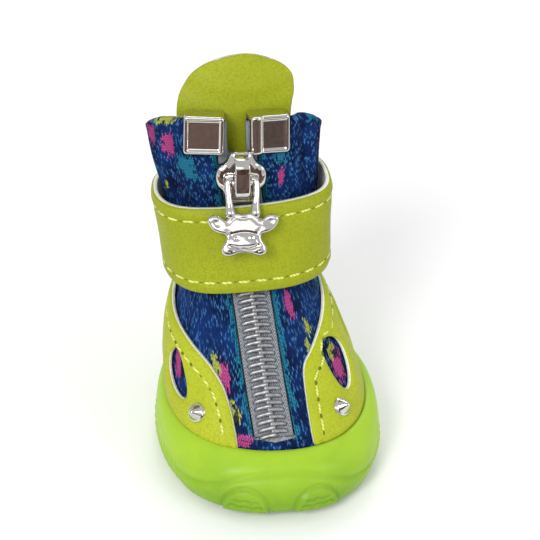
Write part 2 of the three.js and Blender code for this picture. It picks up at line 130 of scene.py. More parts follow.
def through(knots: Array, column: Array, at: Array | float) -> Array:
    """Reads a smooth curve through the values of a table.

    Args:
        knots: Rising places of the rows.
        column: One value for each row.
        at: The places to read.

    Returns:
        A value for each place.
    """
    at = np.asarray(at, float)
    i = np.clip(np.searchsorted(knots, at, side="left") - 1, 0, len(knots) - 2)
    before = np.maximum(i - 1, 0)
    after = np.minimum(i + 2, len(knots) - 1)
    span = knots[i + 1] - knots[i]
    u = (at - knots[i]) / span
    slope_low = (column[i + 1] - column[before]) / (knots[i + 1] - knots[before]) * span
    slope_high = (column[after] - column[i]) / (knots[after] - knots[i]) * span
    return (
        column[i] * (1 - 3 * u**2 + 2 * u**3)
        + column[i + 1] * (3 * u**2 - 2 * u**3)
        + slope_low * (u - 2 * u**2 + u**3)
        + slope_high * (u**3 - u**2)
    )


# ------------------------------------------------------------------ the last
@dataclass(frozen=True)
class Section:
    """One level section of the last, in millimetres; square is 2 for an ellipse."""

    z: float
    front: float
    back: float
    half: float
    side: float = 0.0
    square: float = 2.15
    fuller: float = 0.06


class Last:
    """A form read from a table of sections, on smooth curves through its rows."""

    KEYS = ("front", "back", "half", "side", "square", "fuller")

    def __init__(self, rows: Sequence[Section]) -> None:
        """Keeps the rows, from the lowest up, as columns."""
        self.z = np.array([row.z for row in rows])
        self.columns = {key: np.array([getattr(row, key) for row in rows]) for key in self.KEYS}

    def at(self, z: Array | float) -> dict[str, Array]:
        """Reads the sections at heights, as one array for each column."""
        return {key: through(self.z, column, z) for key, column in self.columns.items()}

    def point(self, z: Array | float, bearing: Array | float, offset: Array | float = 0.0) -> Array:
        """Places points on the form.

        Args:
            z: Heights.
            bearing: Bearings in radians from the toe towards +X.
            offset: How far out of the form, level.

        Returns:
            Points, with X, Y and Z last.
        """
        z, bearing, offset = np.broadcast_arrays(*(np.asarray(v, float) for v in (z, bearing, offset)))
        row = self.at(z)
        power = 2.0 / row["square"]
        across = bowed(np.sin(bearing), power)
        along = bowed(np.cos(bearing), power)
        half = row["half"] + offset
        depth = (row["back"] - row["front"]) / 2 + offset
        x = row["side"] + half * across * (1 + row["fuller"] * np.cos(bearing))
        y = (row["front"] + row["back"]) / 2 - depth * along
        return np.stack([x, y, z], axis=-1)

    def bearing(self, z: Array | float, across: Array | float, offset: Array | float = 0.0) -> Array:
        """Finds the front bearing, in radians, that lies so far to the side of the section's centre."""
        row = self.at(z)
        share = np.asarray(across, float) / ((row["half"] + offset) * (1 + row["fuller"]))
        share = np.clip(share, -0.999, 0.999)
        return np.arcsin(np.sign(share) * np.abs(share) ** (row["square"] / 2.0))

    def out(self, z: Array | float, bearing: Array | float) -> Array:
        """Gives the direction straight out of the form, as unit vectors."""
        step = 0.01
        across = self.point(z, np.asarray(bearing) + step) - self.point(z, np.asarray(bearing) - step)
        up = self.point(np.asarray(z) + step, bearing) - self.point(np.asarray(z) - step, bearing)
        normal = np.cross(across, up)
        return normal / np.linalg.norm(normal, axis=-1, keepdims=True)


LAST = Last([
    Section(3.8, -22.7, 25.5, 18.4, 0.0, 2.15, 0.06),
    Section(9.0, -22.2, 26.0, 18.9, -0.3, 2.15, 0.06),
    Section(12.5, -21.2, 26.3, 18.7, -0.6, 2.15, 0.06),
    Section(18.0, -15.6, 26.9, 17.8, -1.5, 2.15, 0.06),
    Section(24.0, -9.2, 26.9, 16.2, -2.4, 2.15, 0.06),
    Section(30.0, -3.0, 26.0, 14.0, -3.2, 2.15, 0.08),
    Section(35.0, 1.0, 25.2, 13.2, -3.9, 2.2, 0.12),
    Section(42.0, 3.6, 24.4, 13.7, -4.45, 2.25, 0.15),
    Section(50.0, 5.4, 24.0, 14.8, -5.0, 2.3, 0.16),
    Section(59.0, 7.0, 24.2, 15.8, -6.2, 2.4, 0.15),
    Section(67.5, 8.4, 24.8, 16.6, -6.6, 2.5, 0.12),
    Section(73.0, 10.4, 26.4, 16.8, -5.4, 2.4, 0.1),
    Section(80.0, 14.2, 29.6, 17.0, -3.9, 2.3, 0.1),
])

STRAP_FORM = Last([
    Section(35.6, -2.6, 27.0, 16.4, -3.6, 2.45, 0.1),
    Section(44.2, -1.0, 26.5, 17.2, -4.3, 2.45, 0.12),
    Section(52.8, 0.8, 26.2, 17.65, -5.0, 2.45, 0.12),
])

RIM_TOP = 11.9
SOLE_FLOOR = 3.5
TOE_RISE = 0.6
COLLAR_Z = 67.5
THROAT_HALF = 4.3


# ------------------------------------------------------------------ meshes
def make_piece(
    name: str,
    points: Array,
    faces: Sequence[Sequence[int]],
    finishes: Sequence[Material],
    marks: Array | None = None,
    uv: Array | None = None,
    attributes: dict[str, Array] | None = None,
) -> Piece:
    """Makes a smooth-shaded object from points in millimetres.

    Args:
        name: The piece's name.
        points: One row for each vertex.
        faces: Vertex numbers of each face.
        finishes: The materials.
        marks: The material number of each face.
        uv: Pattern coordinates of each vertex, in millimetres.
        attributes: Named values of each vertex.

    Returns:
        The new object.
    """
    mesh = bpy.data.meshes.new(name)
    mesh.from_pydata((np.asarray(points, float) * MM).tolist(), [], [list(map(int, f)) for f in faces])
    for finish in finishes:
        mesh.materials.append(finish)
    if marks is not None:
        mesh.polygons.foreach_set("material_index", np.asarray(marks, np.int32))
    mesh.polygons.foreach_set("use_smooth", np.ones(len(mesh.polygons), bool))
    if uv is not None:
        owners = np.empty(len(mesh.loops), np.int32)
        mesh.loops.foreach_get("vertex_index", owners)
        layer = mesh.uv_layers.new(name="pattern_mm")
        layer.data.foreach_set("uv", np.asarray(uv, float)[owners].ravel())
    for key, values in (attributes or {}).items():
        layer = mesh.attributes.new(key, "FLOAT", "POINT")
        layer.data.foreach_set("value", np.asarray(values, np.float32))
    mesh.update()
    piece = bpy.data.objects.new(name, mesh)
    bpy.context.scene.collection.objects.link(piece)
    return piece


def volume(points: Array, faces: Sequence[Sequence[int]]) -> float:
    """Gives the signed volume of a closed mesh."""
    fans = np.array([(f[0], f[k], f[k + 1]) for f in faces for k in range(1, len(f) - 1)])
    a, b, c = (points[fans[:, k]] for k in range(3))
    return float(np.einsum("ij,ij->", a, np.cross(b, c))) / 6.0


def closed_grid(
    name: str,
    front: Array,
    back: Array,
    finishes: Sequence[Material],
    wrap: bool = False,
    joined: int = 0,
    uv: Array | None = None,
    attributes: dict[str, Array] | None = None,
) -> Piece:
    """Joins two grids of points into one closed skin with edges between them.

    Args:
        name: The piece's name.
        front: Outer points, rows by columns by 3.
        back: Inner points, the same size.
        finishes: The materials of the front, the back and the cut edges.
        wrap: Whether the last column joins the first.
        joined: How many of the lowest rows have their last column on their first.
        uv: Pattern coordinates, rows by columns by 2, in millimetres.
        attributes: Named values, rows by columns.

    Returns:
        The new object.
    """
    rows, cols = front.shape[:2]
    half = rows * cols
    points = np.concatenate([front.reshape(-1, 3), back.reshape(-1, 3)])
    faces: list[tuple[int, ...]] = []
    marks: list[int] = []
    last_col = cols if wrap else cols - 1
    for r in range(rows - 1):
        for c in range(last_col):
            n = (c + 1) % cols
            quad = (r * cols + c, r * cols + n, (r + 1) * cols + n, (r + 1) * cols + c)
            faces.append(quad)
            faces.append(tuple(half + k for k in reversed(quad)))
            marks += [0, 1]
    for c in range(last_col):
        n = (c + 1) % cols
        top = (rows - 1) * cols
        faces.append((n, c, half + c, half + n))
        faces.append((top + c, top + n, half + top + n, half + top + c))
        marks += [2, 2]
    if not wrap:
        for r in range(joined, rows - 1):
            low, high = r * cols, (r + 1) * cols
            faces.append((low, high, half + high, half + low))
            far_low, far_high = low + cols - 1, high + cols - 1
            faces.append((far_high, far_low, half + far_low, half + far_high))
            marks += [2, 2]
    if volume(points, faces) < 0:
        faces = [tuple(reversed(f)) for f in faces]
    flat_uv = None if uv is None else np.tile(uv.reshape(-1, 2), (2, 1))
    values = {k: np.tile(v.ravel(), 2) for k, v in (attributes or {}).items()}
    return make_piece(name, points, faces, finishes, np.array(marks), flat_uv, values)


def resample(loop: Array, spacing: float, closed: bool = True) -> Array:
    """Spaces points evenly along a line of corners; a closed line doesn't repeat its start."""
    line = np.vstack([loop, loop[:1]]) if closed else np.asarray(loop, float)
    run = lengths(line)
    count = max(3, int(round(run[-1] / spacing)))
    places = np.linspace(0.0, run[-1], count if closed else count + 1, endpoint=not closed)
    return np.stack([np.interp(places, run, line[:, k]) for k in range(line.shape[1])], axis=1)


def inside(points: Array, loop: Array) -> Array:
    """Tells, for each point in the plane, whether it lies inside a closed outline."""
    hit = np.zeros(len(points), bool)
    ends = np.roll(loop, -1, axis=0)
    for (x0, y0), (x1, y1) in zip(loop, ends):
        spans = (y0 > points[:, 1]) != (y1 > points[:, 1])
        cross = x0 + (points[:, 1] - y0) * (x1 - x0) / ((y1 - y0) or 1e-12)
        hit ^= spans & (points[:, 0] < cross)
    return hit


def distance(points: Array, line: Array, closed: bool = True) -> Array:
    """Measures each point's distance to a line of corners, which may join its start."""
    ends = np.roll(line, -1, axis=0) if closed else line[1:]
    starts = line if closed else line[:-1]
    best = np.full(len(points), np.inf)
    for a, b in zip(starts, ends):
        ab = b - a
        share = np.clip(((points - a) @ ab) / max(float(ab @ ab), 1e-12), 0.0, 1.0)
        best = np.minimum(best, np.linalg.norm(points - a - share[:, None] * ab, axis=1))
    return best


@dataclass
class Blank:
    """A flat shape with holes, cut into small triangles."""

    points: Array
    triangles: Array
    loops: list[Array]
    edge_runs: list[Array]

    @classmethod
    def cut(cls, loops: Sequence[Array], spacing: float, insets: Sequence[float] = ()) -> "Blank":
        """Cuts a shape into triangles.

        Args:
            loops: The outline, then any holes.
            spacing: The size of the triangles.
            insets: Distances in from the edges at which rows of points follow them.

        Returns:
            The cut shape.
        """
        rings = [resample(np.asarray(loop, float), spacing) for loop in loops]
        low, high = rings[0].min(axis=0), rings[0].max(axis=0)
        grid = []
        for j, y in enumerate(np.arange(low[1], high[1], spacing * 0.87)):
            shift = 0.5 * spacing * (j % 2)
            grid += [(x, y) for x in np.arange(low[0] + shift, high[0], spacing)]
        grid_points = np.array(grid)
        keep = inside(grid_points, rings[0])
        for ring in rings[1:]:
            keep &= ~inside(grid_points, ring)
        for ring in rings:
            keep &= distance(grid_points, ring) > max(insets, default=0.0) + 0.55 * spacing
        rows = [cls.inset_row(rings, ring, depth) for depth in insets for ring in rings]
        points = np.vstack([*rings, *rows, grid_points[keep]])
        runs, start = [], 0
        for ring in rings:
            runs.append(np.arange(start, start + len(ring)))
            start += len(ring)
        edges = [(int(a), int(b)) for run in runs for a, b in zip(run, np.roll(run, -1))]
        found = delaunay_2d_cdt([Vector(p) for p in points], edges, [], 0, 1e-6)
        verts = np.array([(v.x, v.y) for v in found[0]])
        order = {orig: new for new, origs in enumerate(found[3]) for orig in origs}
        triangles = np.array([tri for tri in found[2] if len(tri) == 3])
        centres = verts[triangles].mean(axis=1)
        good = inside(centres, rings[0])
        for ring in rings[1:]:
            good &= ~inside(centres, ring)
        runs = [np.array([order[int(k)] for k in run]) for run in runs]
        return cls(verts, triangles[good], rings, runs)

    @staticmethod
    def inset_row(rings: Sequence[Array], ring: Array, depth: float) -> Array:
        """Sets points inside one edge, at a depth, and keeps those that far from every edge."""
        way = np.roll(ring, -1, axis=0) - np.roll(ring, 1, axis=0)
        normal = np.stack([-way[:, 1], way[:, 0]], axis=1)
        normal /= np.linalg.norm(normal, axis=1, keepdims=True)
        x, y = ring[:, 0], ring[:, 1]
        turn = np.sign(np.sum(x * np.roll(y, -1) - np.roll(x, -1) * y))
        into = turn if ring is rings[0] else -turn
        row = ring + into * depth * normal
        clear = np.min([distance(row, other) for other in rings], axis=0)
        return row[clear > 0.96 * depth]

    def rim(self) -> Array:
        """Gives each vertex's distance to the nearest edge of the shape."""
        return np.min([distance(self.points, ring) for ring in self.loops], axis=0)

    def skin(self, front: Array, back: Array) -> tuple[Array, list[tuple[int, ...]], list[int]]:
        """Closes the shape's front and back with the cut edges between them.

        Args:
            front: The front's point for each vertex.
            back: The back's point for each vertex.

        Returns:
            The points, the faces, and 0, 1 or 2 for each face on the front, back or edge.
        """
        half = len(self.points)
        points = np.concatenate([front, back])
        faces = [tuple(tri) for tri in self.triangles]
        faces += [tuple(half + k for k in reversed(tri)) for tri in self.triangles]
        marks = [0] * len(self.triangles) + [1] * len(self.triangles)
        directed = {(tri[k], tri[(k + 1) % 3]) for tri in self.triangles.tolist() for k in range(3)}
        for run in self.edge_runs:
            for a, b in zip(run.tolist(), np.roll(run, -1).tolist()):
                if (a, b) not in directed:
                    a, b = b, a
                faces.append((b, a, half + a, half + b))
                marks.append(2)
        if volume(points, faces) < 0:
            faces = [tuple(reversed(f)) for f in faces]
        return points, faces, marks

    def build(
        self,
        name: str,
        front: Array,
        back: Array,
        finishes: Sequence[Material],
        uv: Array | None = None,
        attributes: dict[str, Array] | None = None,
    ) -> Piece:
        """Makes a closed piece from the shape's front and back.

        Args:
            name: The piece's name.
            front: The front's point for each vertex.
            back: The back's point for each vertex.
            finishes: The materials of the front, the back and the cut edges.
            uv: Pattern coordinates of each vertex, in millimetres.
            attributes: Named values of each vertex.

        Returns:
            The new object.
        """
        points, faces, marks = self.skin(front, back)
        both_uv = None if uv is None else np.tile(uv, (2, 1))
        values = {k: np.tile(v, 2) for k, v in (attributes or {}).items()}
        return make_piece(name, points, faces, finishes, np.array(marks), both_uv, values)


Shell = tuple[Array, list[tuple[int, ...]]]


def ring_stack(rings: Array) -> Shell:
    """Skins a stack of rings, by places round each by 3, and closes each end with a pole."""
    count, around = rings.shape[:2]
    points = np.vstack([rings.reshape(-1, 3), rings[0].mean(axis=0), rings[-1].mean(axis=0)])
    faces: list[tuple[int, ...]] = []
    low, high, last = count * around, count * around + 1, (count - 1) * around
    for c in range(around):
        n = (c + 1) % around
        for r in range(0, last, around):
            faces.append((r + c, r + n, r + around + n, r + around + c))
        faces.append((low, n, c))
        faces.append((high, last + c, last + n))
    if volume(points, faces) < 0:
        faces = [tuple(reversed(f)) for f in faces]
    return points, faces


def together(shells: Sequence[Shell]) -> Shell:
    """Puts several closed shells in one list of points and faces."""
    points, faces, start = [], [], 0
    for shell_points, shell_faces in shells:
        points.append(shell_points)
        faces += [tuple(start + int(k) for k in face) for face in shell_faces]
        start += len(shell_points)
    return np.vstack(points), faces


def rod(line: Array, radii: Array, flat: float = 1.0, around: int = 16) -> Shell:
    """Sweeps an oval along a line in the XZ plane; flat is its depth along Y for a width of 1."""
    way = np.gradient(line, axis=0)
    way /= np.linalg.norm(way, axis=1, keepdims=True)
    depth = np.array([0.0, 1.0, 0.0])
    side = np.cross(way, depth)
    side /= np.linalg.norm(side, axis=1, keepdims=True)
    turn = circle(around)
    rings = (
        line[:, None, :]
        + (radii[:, None] * np.cos(turn))[..., None] * side[:, None, :]
        + (flat * radii[:, None] * np.sin(turn))[..., None] * depth
    )
    return ring_stack(rings)


@dataclass(frozen=True)
class Pose:
    """Where a small part stands: its local X runs across, -Y out and Z up."""

    origin: Array
    across: Array
    out: Array
    up: Array

    @classmethod
    def leaning(cls, origin: Array, slope: float, yaw: float = 0.0) -> "Pose":
        """Stands a part at a point, leaning back by a slope and turned by a yaw, in radians."""
        turn = Euler((0.0, 0.0, yaw)).to_matrix()
        axes = [(1, 0, 0), (0, -math.cos(slope), math.sin(slope)), (0, math.sin(slope), math.cos(slope))]
        return cls(np.asarray(origin, float), *(np.array(turn @ Vector(axis)) for axis in axes))

    @classmethod
    def on_last(cls, bearing: float, z: float, offset: float) -> "Pose":
        """Stands a part on the last, facing straight out of it."""
        here = LAST.point(z, bearing, offset)
        across = LAST.point(z, bearing + 0.02, offset) - here
        across /= np.linalg.norm(across)
        rise = LAST.point(z + 1.0, bearing, offset) - here
        out = np.cross(across, rise)
        out /= np.linalg.norm(out)
        return cls(here, across, out, np.cross(out, across))

    def place(self, shell: Shell) -> Shell:
        """Moves a shell from the part's own axes to the boot's."""
        points, faces = shell
        moved = self.origin + points[:, :1] * self.across - points[:, 1:2] * self.out
        moved = moved + points[:, 2:] * self.up
        return moved, faces


def weld(piece: Piece, gap_mm: float = 0.001) -> None:
    """Merges a piece's vertices that are nearer than a gap, and turns its faces outwards."""
    work = bmesh.new()
    work.from_mesh(piece.data)
    bmesh.ops.remove_doubles(work, verts=work.verts, dist=gap_mm * MM)
    bmesh.ops.recalc_face_normals(work, faces=work.faces)
    work.to_mesh(piece.data)
    work.free()
    piece.data.update()


def apply(piece: Piece, modifier: bpy.types.Modifier, helper: Piece) -> None:
    """Makes a modifier's result the piece's own mesh, and removes the modifier and its helper."""
    bpy.context.view_layer.update()
    graph = bpy.context.evaluated_depsgraph_get()
    made = bpy.data.meshes.new_from_object(piece.evaluated_get(graph), depsgraph=graph)
    piece.modifiers.remove(modifier)
    piece.data = made
    bpy.data.objects.remove(helper)


def hand_over(piece: Piece, slot: str, *nodes: str, body: str = BOOT) -> None:
    """Hides the CAD nodes that a finished piece stands for, puts it on its body and logs it; the material
    slot is not used.
    """
    if nodes:
        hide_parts(*nodes)
    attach(piece, body)
    LOG.info("%s: %d faces on %s", piece.name, len(piece.data.polygons), body)


# ------------------------------------------------------------------ finishes
MIX, NOISE, VORONOI = "ShaderNodeMix", "ShaderNodeTexNoise", "ShaderNodeTexVoronoi"
MATH, RANGE, BUMP = "ShaderNodeMath", "ShaderNodeMapRange", "ShaderNodeBump"
VECTOR_MATH, SPLIT = "ShaderNodeVectorMath", "ShaderNodeSeparateXYZ"
COORDS, ATTRIBUTE, PRINCIPLED = "ShaderNodeTexCoord", "ShaderNodeAttribute", "ShaderNodeBsdfPrincipled"
PER_MM = 1.0 / MM
SHARE, FIRST, SECOND, MIXED = 0, 6, 7, 2


@dataclass(frozen=True)
class Finish:
    """How one kind of surface looks; its material is made once."""

    title: str

    def surface(self, tree: Tree) -> Node:
        """Adds the finish's nodes and gives its shader."""
        raise NotImplementedError

    def material(self) -> Material:
        """Gives the finish's material, made at the first call."""
        found = bpy.data.materials.get(self.title)
        if found:
            return found
        made = bpy.data.materials.new(self.title)
        made.use_nodes = True
        tree = made.node_tree
        tree.nodes.clear()
        node(tree, "ShaderNodeOutputMaterial", {"Surface": self.surface(tree)})
        return made


@dataclass(frozen=True)
class GrainedPu(Finish):
    """PU-coated cloth, embossed while hot: a satin skin of fine pebbles that catch soft light."""

    title: str = "pu_leather_embossed"
    colour: str = "a3ae22"
    shade: str = "929c1c"
    light: str = "adb62a"
    roughness: float = 0.5
    # The real grain is about 0.3 mm; it is drawn coarser so that it shows.
    pebble_mm: float = 0.42

    def surface(self, tree: Tree) -> Node:
        """Mixes cloudy colour, darkens the pebble valleys with painted shade, and raises the pebbles."""
        place = node(tree, COORDS).outputs["Object"]
        bend = node(tree, NOISE, {"Vector": place, "Scale": PER_MM / 1.7, "Detail": 2.0})
        push = node(tree, VECTOR_MATH, {0: bend.outputs["Color"], "Scale": 0.0004}, operation="SCALE")
        warped = node(tree, VECTOR_MATH, {0: place, 1: push}, operation="ADD")
        pebble = node(tree, VORONOI, {"Vector": warped, "Scale": PER_MM / self.pebble_mm}, feature="F1")
        fine = node(tree, NOISE, {"Vector": place, "Scale": PER_MM / 0.2, "Detail": 3.0})
        cloud = node(tree, NOISE, {"Vector": place, "Scale": PER_MM / 9.0, "Detail": 3.0})
        dome = node(tree, RANGE, {0: pebble.outputs["Distance"], 1: 0.15, 2: 0.75, 3: 1.0, 4: 0.0})
        height = node(tree, MATH, {0: fine, 1: 0.35, 2: dome}, operation="MULTIPLY_ADD")
        broad = node(tree, RANGE, {0: cloud, 1: 0.3, 2: 0.7})
        tint = {SHARE: broad, FIRST: linear(self.colour), SECOND: linear(self.light)}
        base = node(tree, MIX, tint, data_type="RGBA")
        # Painted shade: the pebble valleys are darkened towards the shade colour.
        valley = node(tree, RANGE, {0: dome, 1: 0.0, 2: 0.6, 3: 0.55, 4: 0.0})
        valley_shade = {SHARE: valley, FIRST: base.outputs[MIXED], SECOND: linear(self.shade)}
        colour = node(tree, MIX, valley_shade, data_type="RGBA")
        rough = node(
            tree, RANGE, {0: fine, 3: self.roughness - 0.06, 4: self.roughness + 0.1}
        )
        bump = node(tree, BUMP, {"Height": height, "Strength": 0.4, "Distance": 0.00007})
        inputs = {
            "Base Color": colour.outputs[MIXED],
            "Roughness": rough,
            "Normal": bump,
            "IOR": 1.5,
            "Specular IOR Level": 0.16,
        }
        return node(tree, PRINCIPLED, inputs)


@dataclass(frozen=True)
class FoamEdge(Finish):
    """The knife-cut edge of white foam-backed cloth: matt, pale, and a little fibrous."""

    title: str = "foam_backing_knife_cut"
    colour: str = "e9ebda"
    soil: str = "b9c08a"

    def surface(self, tree: Tree) -> Node:
        """Mottles the white with traces of the green coat."""
        place = node(tree, COORDS).outputs["Object"]
        flecks = node(tree, NOISE, {"Vector": place, "Scale": PER_MM / 0.45, "Detail": 4.0})
        share = node(tree, RANGE, {0: flecks, 1: 0.5, 2: 0.75, 4: 0.7})
        tint = {SHARE: share, FIRST: linear(self.colour), SECOND: linear(self.soil)}
        colour = node(tree, MIX, tint, data_type="RGBA")
        bump = node(tree, BUMP, {"Height": flecks, "Strength": 0.5, "Distance": 0.0001})
        inputs = {"Base Color": colour.outputs[MIXED], "Normal": bump, "Roughness": 0.85}
        return node(tree, PRINCIPLED, inputs)


@dataclass(frozen=True)
class BrushedCloth(Finish):
    """Brushed knit lining: a soft nap with a faint halo and small crossing threads."""

    title: str = "lining_brushed_knit"
    colour: str = "c9ccc9"
    shade: str = "9a9ea0"
    # The real threads are about 0.3 mm apart; they are drawn coarser so that they show.
    thread_mm: float = 0.5

    def surface(self, tree: Tree) -> Node:
        """Crosses two sets of threads under a fuzzy noise."""
        place = node(tree, COORDS).outputs["Object"]
        fuzz = node(tree, NOISE, {"Vector": place, "Scale": PER_MM / 0.3, "Detail": 5.0})
        cells = node(tree, VORONOI, {"Vector": place, "Scale": PER_MM / self.thread_mm}, feature="F1")
        nap = node(tree, MATH, {0: fuzz, 1: cells.outputs["Distance"]}, operation="SUBTRACT")
        share = node(tree, RANGE, {0: nap, 1: -0.3, 2: 0.5})
        tint = {SHARE: share, FIRST: linear(self.shade), SECOND: linear(self.colour)}
        colour = node(tree, MIX, tint, data_type="RGBA")
        bump = node(tree, BUMP, {"Height": nap, "Strength": 0.6, "Distance": 0.00015})
        inputs = {
            "Base Color": colour.outputs[MIXED],
            "Normal": bump,
            "Roughness": 0.9,
            "Sheen Weight": 0.2,
        }
        return node(tree, PRINCIPLED, inputs)


@dataclass(frozen=True)
class PrintedKnit(Finish):
    """Warp-knit polyester, transfer printed: V stitches in rows, some turned to show a paler side."""

    title: str = "polyester_knit_printed"
    # The real stitches are about 0.6 mm apart; they are drawn coarser so that they show.
    wale_mm: float = 0.66
    course_mm: float = 0.55
    deep: str = "07153c"
    blue: str = "0f3a80"
    fleck: str = "4c8acb"
    inks: tuple[tuple[str, str], ...] = (
        ("teal", "2a86a6"), ("pink", "d2549a"), ("lime", "c6d055"), ("black", "10141f"),
    )

    def surface(self, tree: Tree) -> Node:
        """Draws the stitches from the pattern's own millimetres, prints the inks on them, and darkens the
        gaps between the stitches with painted shade.
        """
        place = node(tree, "ShaderNodeUVMap", uv_map="pattern_mm")
        split = node(tree, SPLIT, {0: place})
        wales = node(tree, MATH, {0: split, 1: 1.0 / self.wale_mm}, operation="MULTIPLY")
        rows = node(tree, MATH, {0: split.outputs[1], 1: 1.0 / self.course_mm}, operation="MULTIPLY")
        lean = node(tree, MATH, {0: wales, 1: 0.5}, operation="PINGPONG")
        course = node(tree, MATH, {0: lean, 1: 1.3, 2: rows}, operation="MULTIPLY_ADD")
        legs = node(tree, MATH, {0: wales, 1: FULL_TURN}, operation="MULTIPLY")
        across = node(tree, MATH, {0: legs}, operation="SINE")
        ridge_x = node(tree, MATH, {0: across}, operation="ABSOLUTE")
        up = node(tree, MATH, {0: course, 1: math.pi}, operation="MULTIPLY")
        along = node(tree, MATH, {0: up}, operation="SINE")
        ridge_z = node(tree, MATH, {0: along}, operation="ABSOLUTE")
        loops = node(tree, MATH, {0: ridge_x, 1: ridge_z}, operation="MULTIPLY")
        height = node(tree, MATH, {0: loops, 1: 0.6}, operation="POWER")

        half_wale = node(tree, MATH, {0: wales, 1: 2.0}, operation="MULTIPLY")
        leg = node(tree, MATH, {0: half_wale}, operation="FLOOR")
        row = node(tree, MATH, {0: course}, operation="FLOOR")
        cell = node(tree, "ShaderNodeCombineXYZ", {0: leg, 1: row})
        chance = node(tree, "ShaderNodeTexWhiteNoise", {"Vector": cell}, noise_dimensions="2D")
        cloud = node(tree, NOISE, {"Vector": place, "Scale": 0.16, "Detail": 3.0})
        ragged = node(tree, NOISE, {"Vector": place, "Scale": 0.9, "Detail": 2.0})

        broad = node(tree, RANGE, {0: cloud, 1: 0.35, 2: 0.65})
        dye = {SHARE: broad, FIRST: linear(self.deep), SECOND: linear(self.blue)}
        colour = node(tree, MIX, dye, data_type="RGBA").outputs[MIXED]
        pale = node(tree, RANGE, {0: chance, 1: 0.7, 2: 0.97, 4: 0.8})
        flecks = {SHARE: pale, FIRST: colour, SECOND: linear(self.fleck)}
        colour = node(tree, MIX, flecks, data_type="RGBA").outputs[MIXED]

        wander = node(tree, MATH, {0: ragged, 1: 0.9, 2: -0.45}, operation="MULTIPLY_ADD")
        speckle = {0: chance, 1: 0.5, 2: wander}
        edge = node(tree, MATH, speckle, operation="MULTIPLY_ADD")
        for name, code in self.inks:
            mask = node(tree, ATTRIBUTE, attribute_name="ink_" + name)
            level = node(tree, MATH, {0: mask.outputs["Fac"], 1: edge}, operation="ADD")
            share = node(tree, RANGE, {0: level, 1: 0.42, 2: 0.58, 4: 0.92})
            print_on = {SHARE: share, FIRST: colour, SECOND: linear(code)}
            colour = node(tree, MIX, print_on, data_type="RGBA").outputs[MIXED]

        # Painted shade: the low places between the stitches are darkened towards navy.
        dark = node(tree, RANGE, {0: height, 1: 0.1, 2: 0.75, 3: 0.6, 4: 0.0})
        gap_shade = {SHARE: dark, FIRST: colour, SECOND: linear("070c22")}
        colour = node(tree, MIX, gap_shade, data_type="RGBA").outputs[MIXED]
        bump = node(tree, BUMP, {"Height": height, "Strength": 0.9, "Distance": 0.00028})
        inputs = {
            "Base Color": colour,
            "Normal": bump,
            "Roughness": 0.8,
            "Specular IOR Level": 0.12,
        }
        return node(tree, PRINCIPLED, inputs)


@dataclass(frozen=True)
class MouldedTpr(Finish):
    """Half-clear thermoplastic rubber from a polished mould: wet-looking, with a painted glow that pales its
    thin edges.
    """

    title: str = "tpr_moulded"
    # The colours at the bottom and at the top of the painted glow.
    low: str = "759d20"
    high: str = "9cbf2c"
    height_mm: float = 12.0

    def surface(self, tree: Tree) -> Node:
        """Paints the thin rim and sides paler than the thick toe and darker towards the bottom, a painted
        glow, with faint flow marks.
        """
        place = node(tree, COORDS).outputs["Object"]
        split = node(tree, SPLIT, {0: place})
        flow = node(tree, NOISE, {"Vector": place, "Scale": PER_MM / 7.0, "Detail": 3.0, "Distortion": 0.6})
        lift = node(tree, MATH, {0: flow, 1: 0.005, 2: split.outputs[2]}, operation="MULTIPLY_ADD")
        top = (self.height_mm + 3.0) * MM
        # Painted glow: the colour pales up towards the rim.
        edge = node(tree, RANGE, {0: lift, 1: 0.007, 2: top})
        aside = node(tree, MATH, {0: split}, operation="ABSOLUTE")
        # Painted glow: the colour pales out on the sides.
        painted_side_glow = node(tree, RANGE, {0: aside, 1: 0.012, 2: 0.022, 4: 0.7})
        share = node(tree, MATH, {0: edge, 1: painted_side_glow}, operation="ADD")
        tint = {SHARE: share, FIRST: linear(self.low), SECOND: linear(self.high)}
        colour = node(tree, MIX, tint, data_type="RGBA")
        skin = node(tree, NOISE, {"Vector": place, "Scale": PER_MM / 0.5, "Detail": 4.0})
        rough = node(tree, RANGE, {0: flow, 1: 0.3, 2: 0.7, 3: 0.34, 4: 0.5})
        bump = node(tree, BUMP, {"Height": skin, "Strength": 0.3, "Distance": 0.00005})
        inputs = {
            "Base Color": colour.outputs[MIXED],
            "Roughness": rough,
            "Normal": bump,
            "IOR": 1.5,
            "Specular IOR Level": 0.25,
            "Subsurface Weight": 0.3,
            "Subsurface Radius": (0.7, 1.0, 0.25),
            "Subsurface Scale": 0.0025,
        }
        return node(tree, PRINCIPLED, inputs)


@dataclass(frozen=True)
class Chrome(Finish):
    """Zinc casting, polished and chrome plated: a near mirror with the casting's soft waves."""

    title: str = "zinc_cast_chromed"
    colour: str = "dcdad6"

    def surface(self, tree: Tree) -> Node:
        """Waves the mirror a little and clouds it with handling marks."""
        place = node(tree, COORDS).outputs["Object"]
        waves = node(tree, NOISE, {"Vector": place, "Scale": PER_MM / 2.5, "Detail": 2.0})
        marks = node(tree, NOISE, {"Vector": place, "Scale": PER_MM / 0.8, "Detail": 5.0})
        rough = node(tree, RANGE, {0: marks, 1: 0.35, 2: 0.7, 3: 0.05, 4: 0.16})
        tint = {SHARE: marks, FIRST: linear(self.colour), SECOND: linear("bdb9b4")}
        colour = node(tree, MIX, tint, data_type="RGBA")
        bump = node(tree, BUMP, {"Height": waves, "Strength": 0.25, "Distance": 0.0001})
        inputs = {
            "Base Color": colour.outputs[MIXED],
            "Metallic": 1.0,
            "Roughness": rough,
            "Normal": bump,
        }
        return node(tree, PRINCIPLED, inputs)


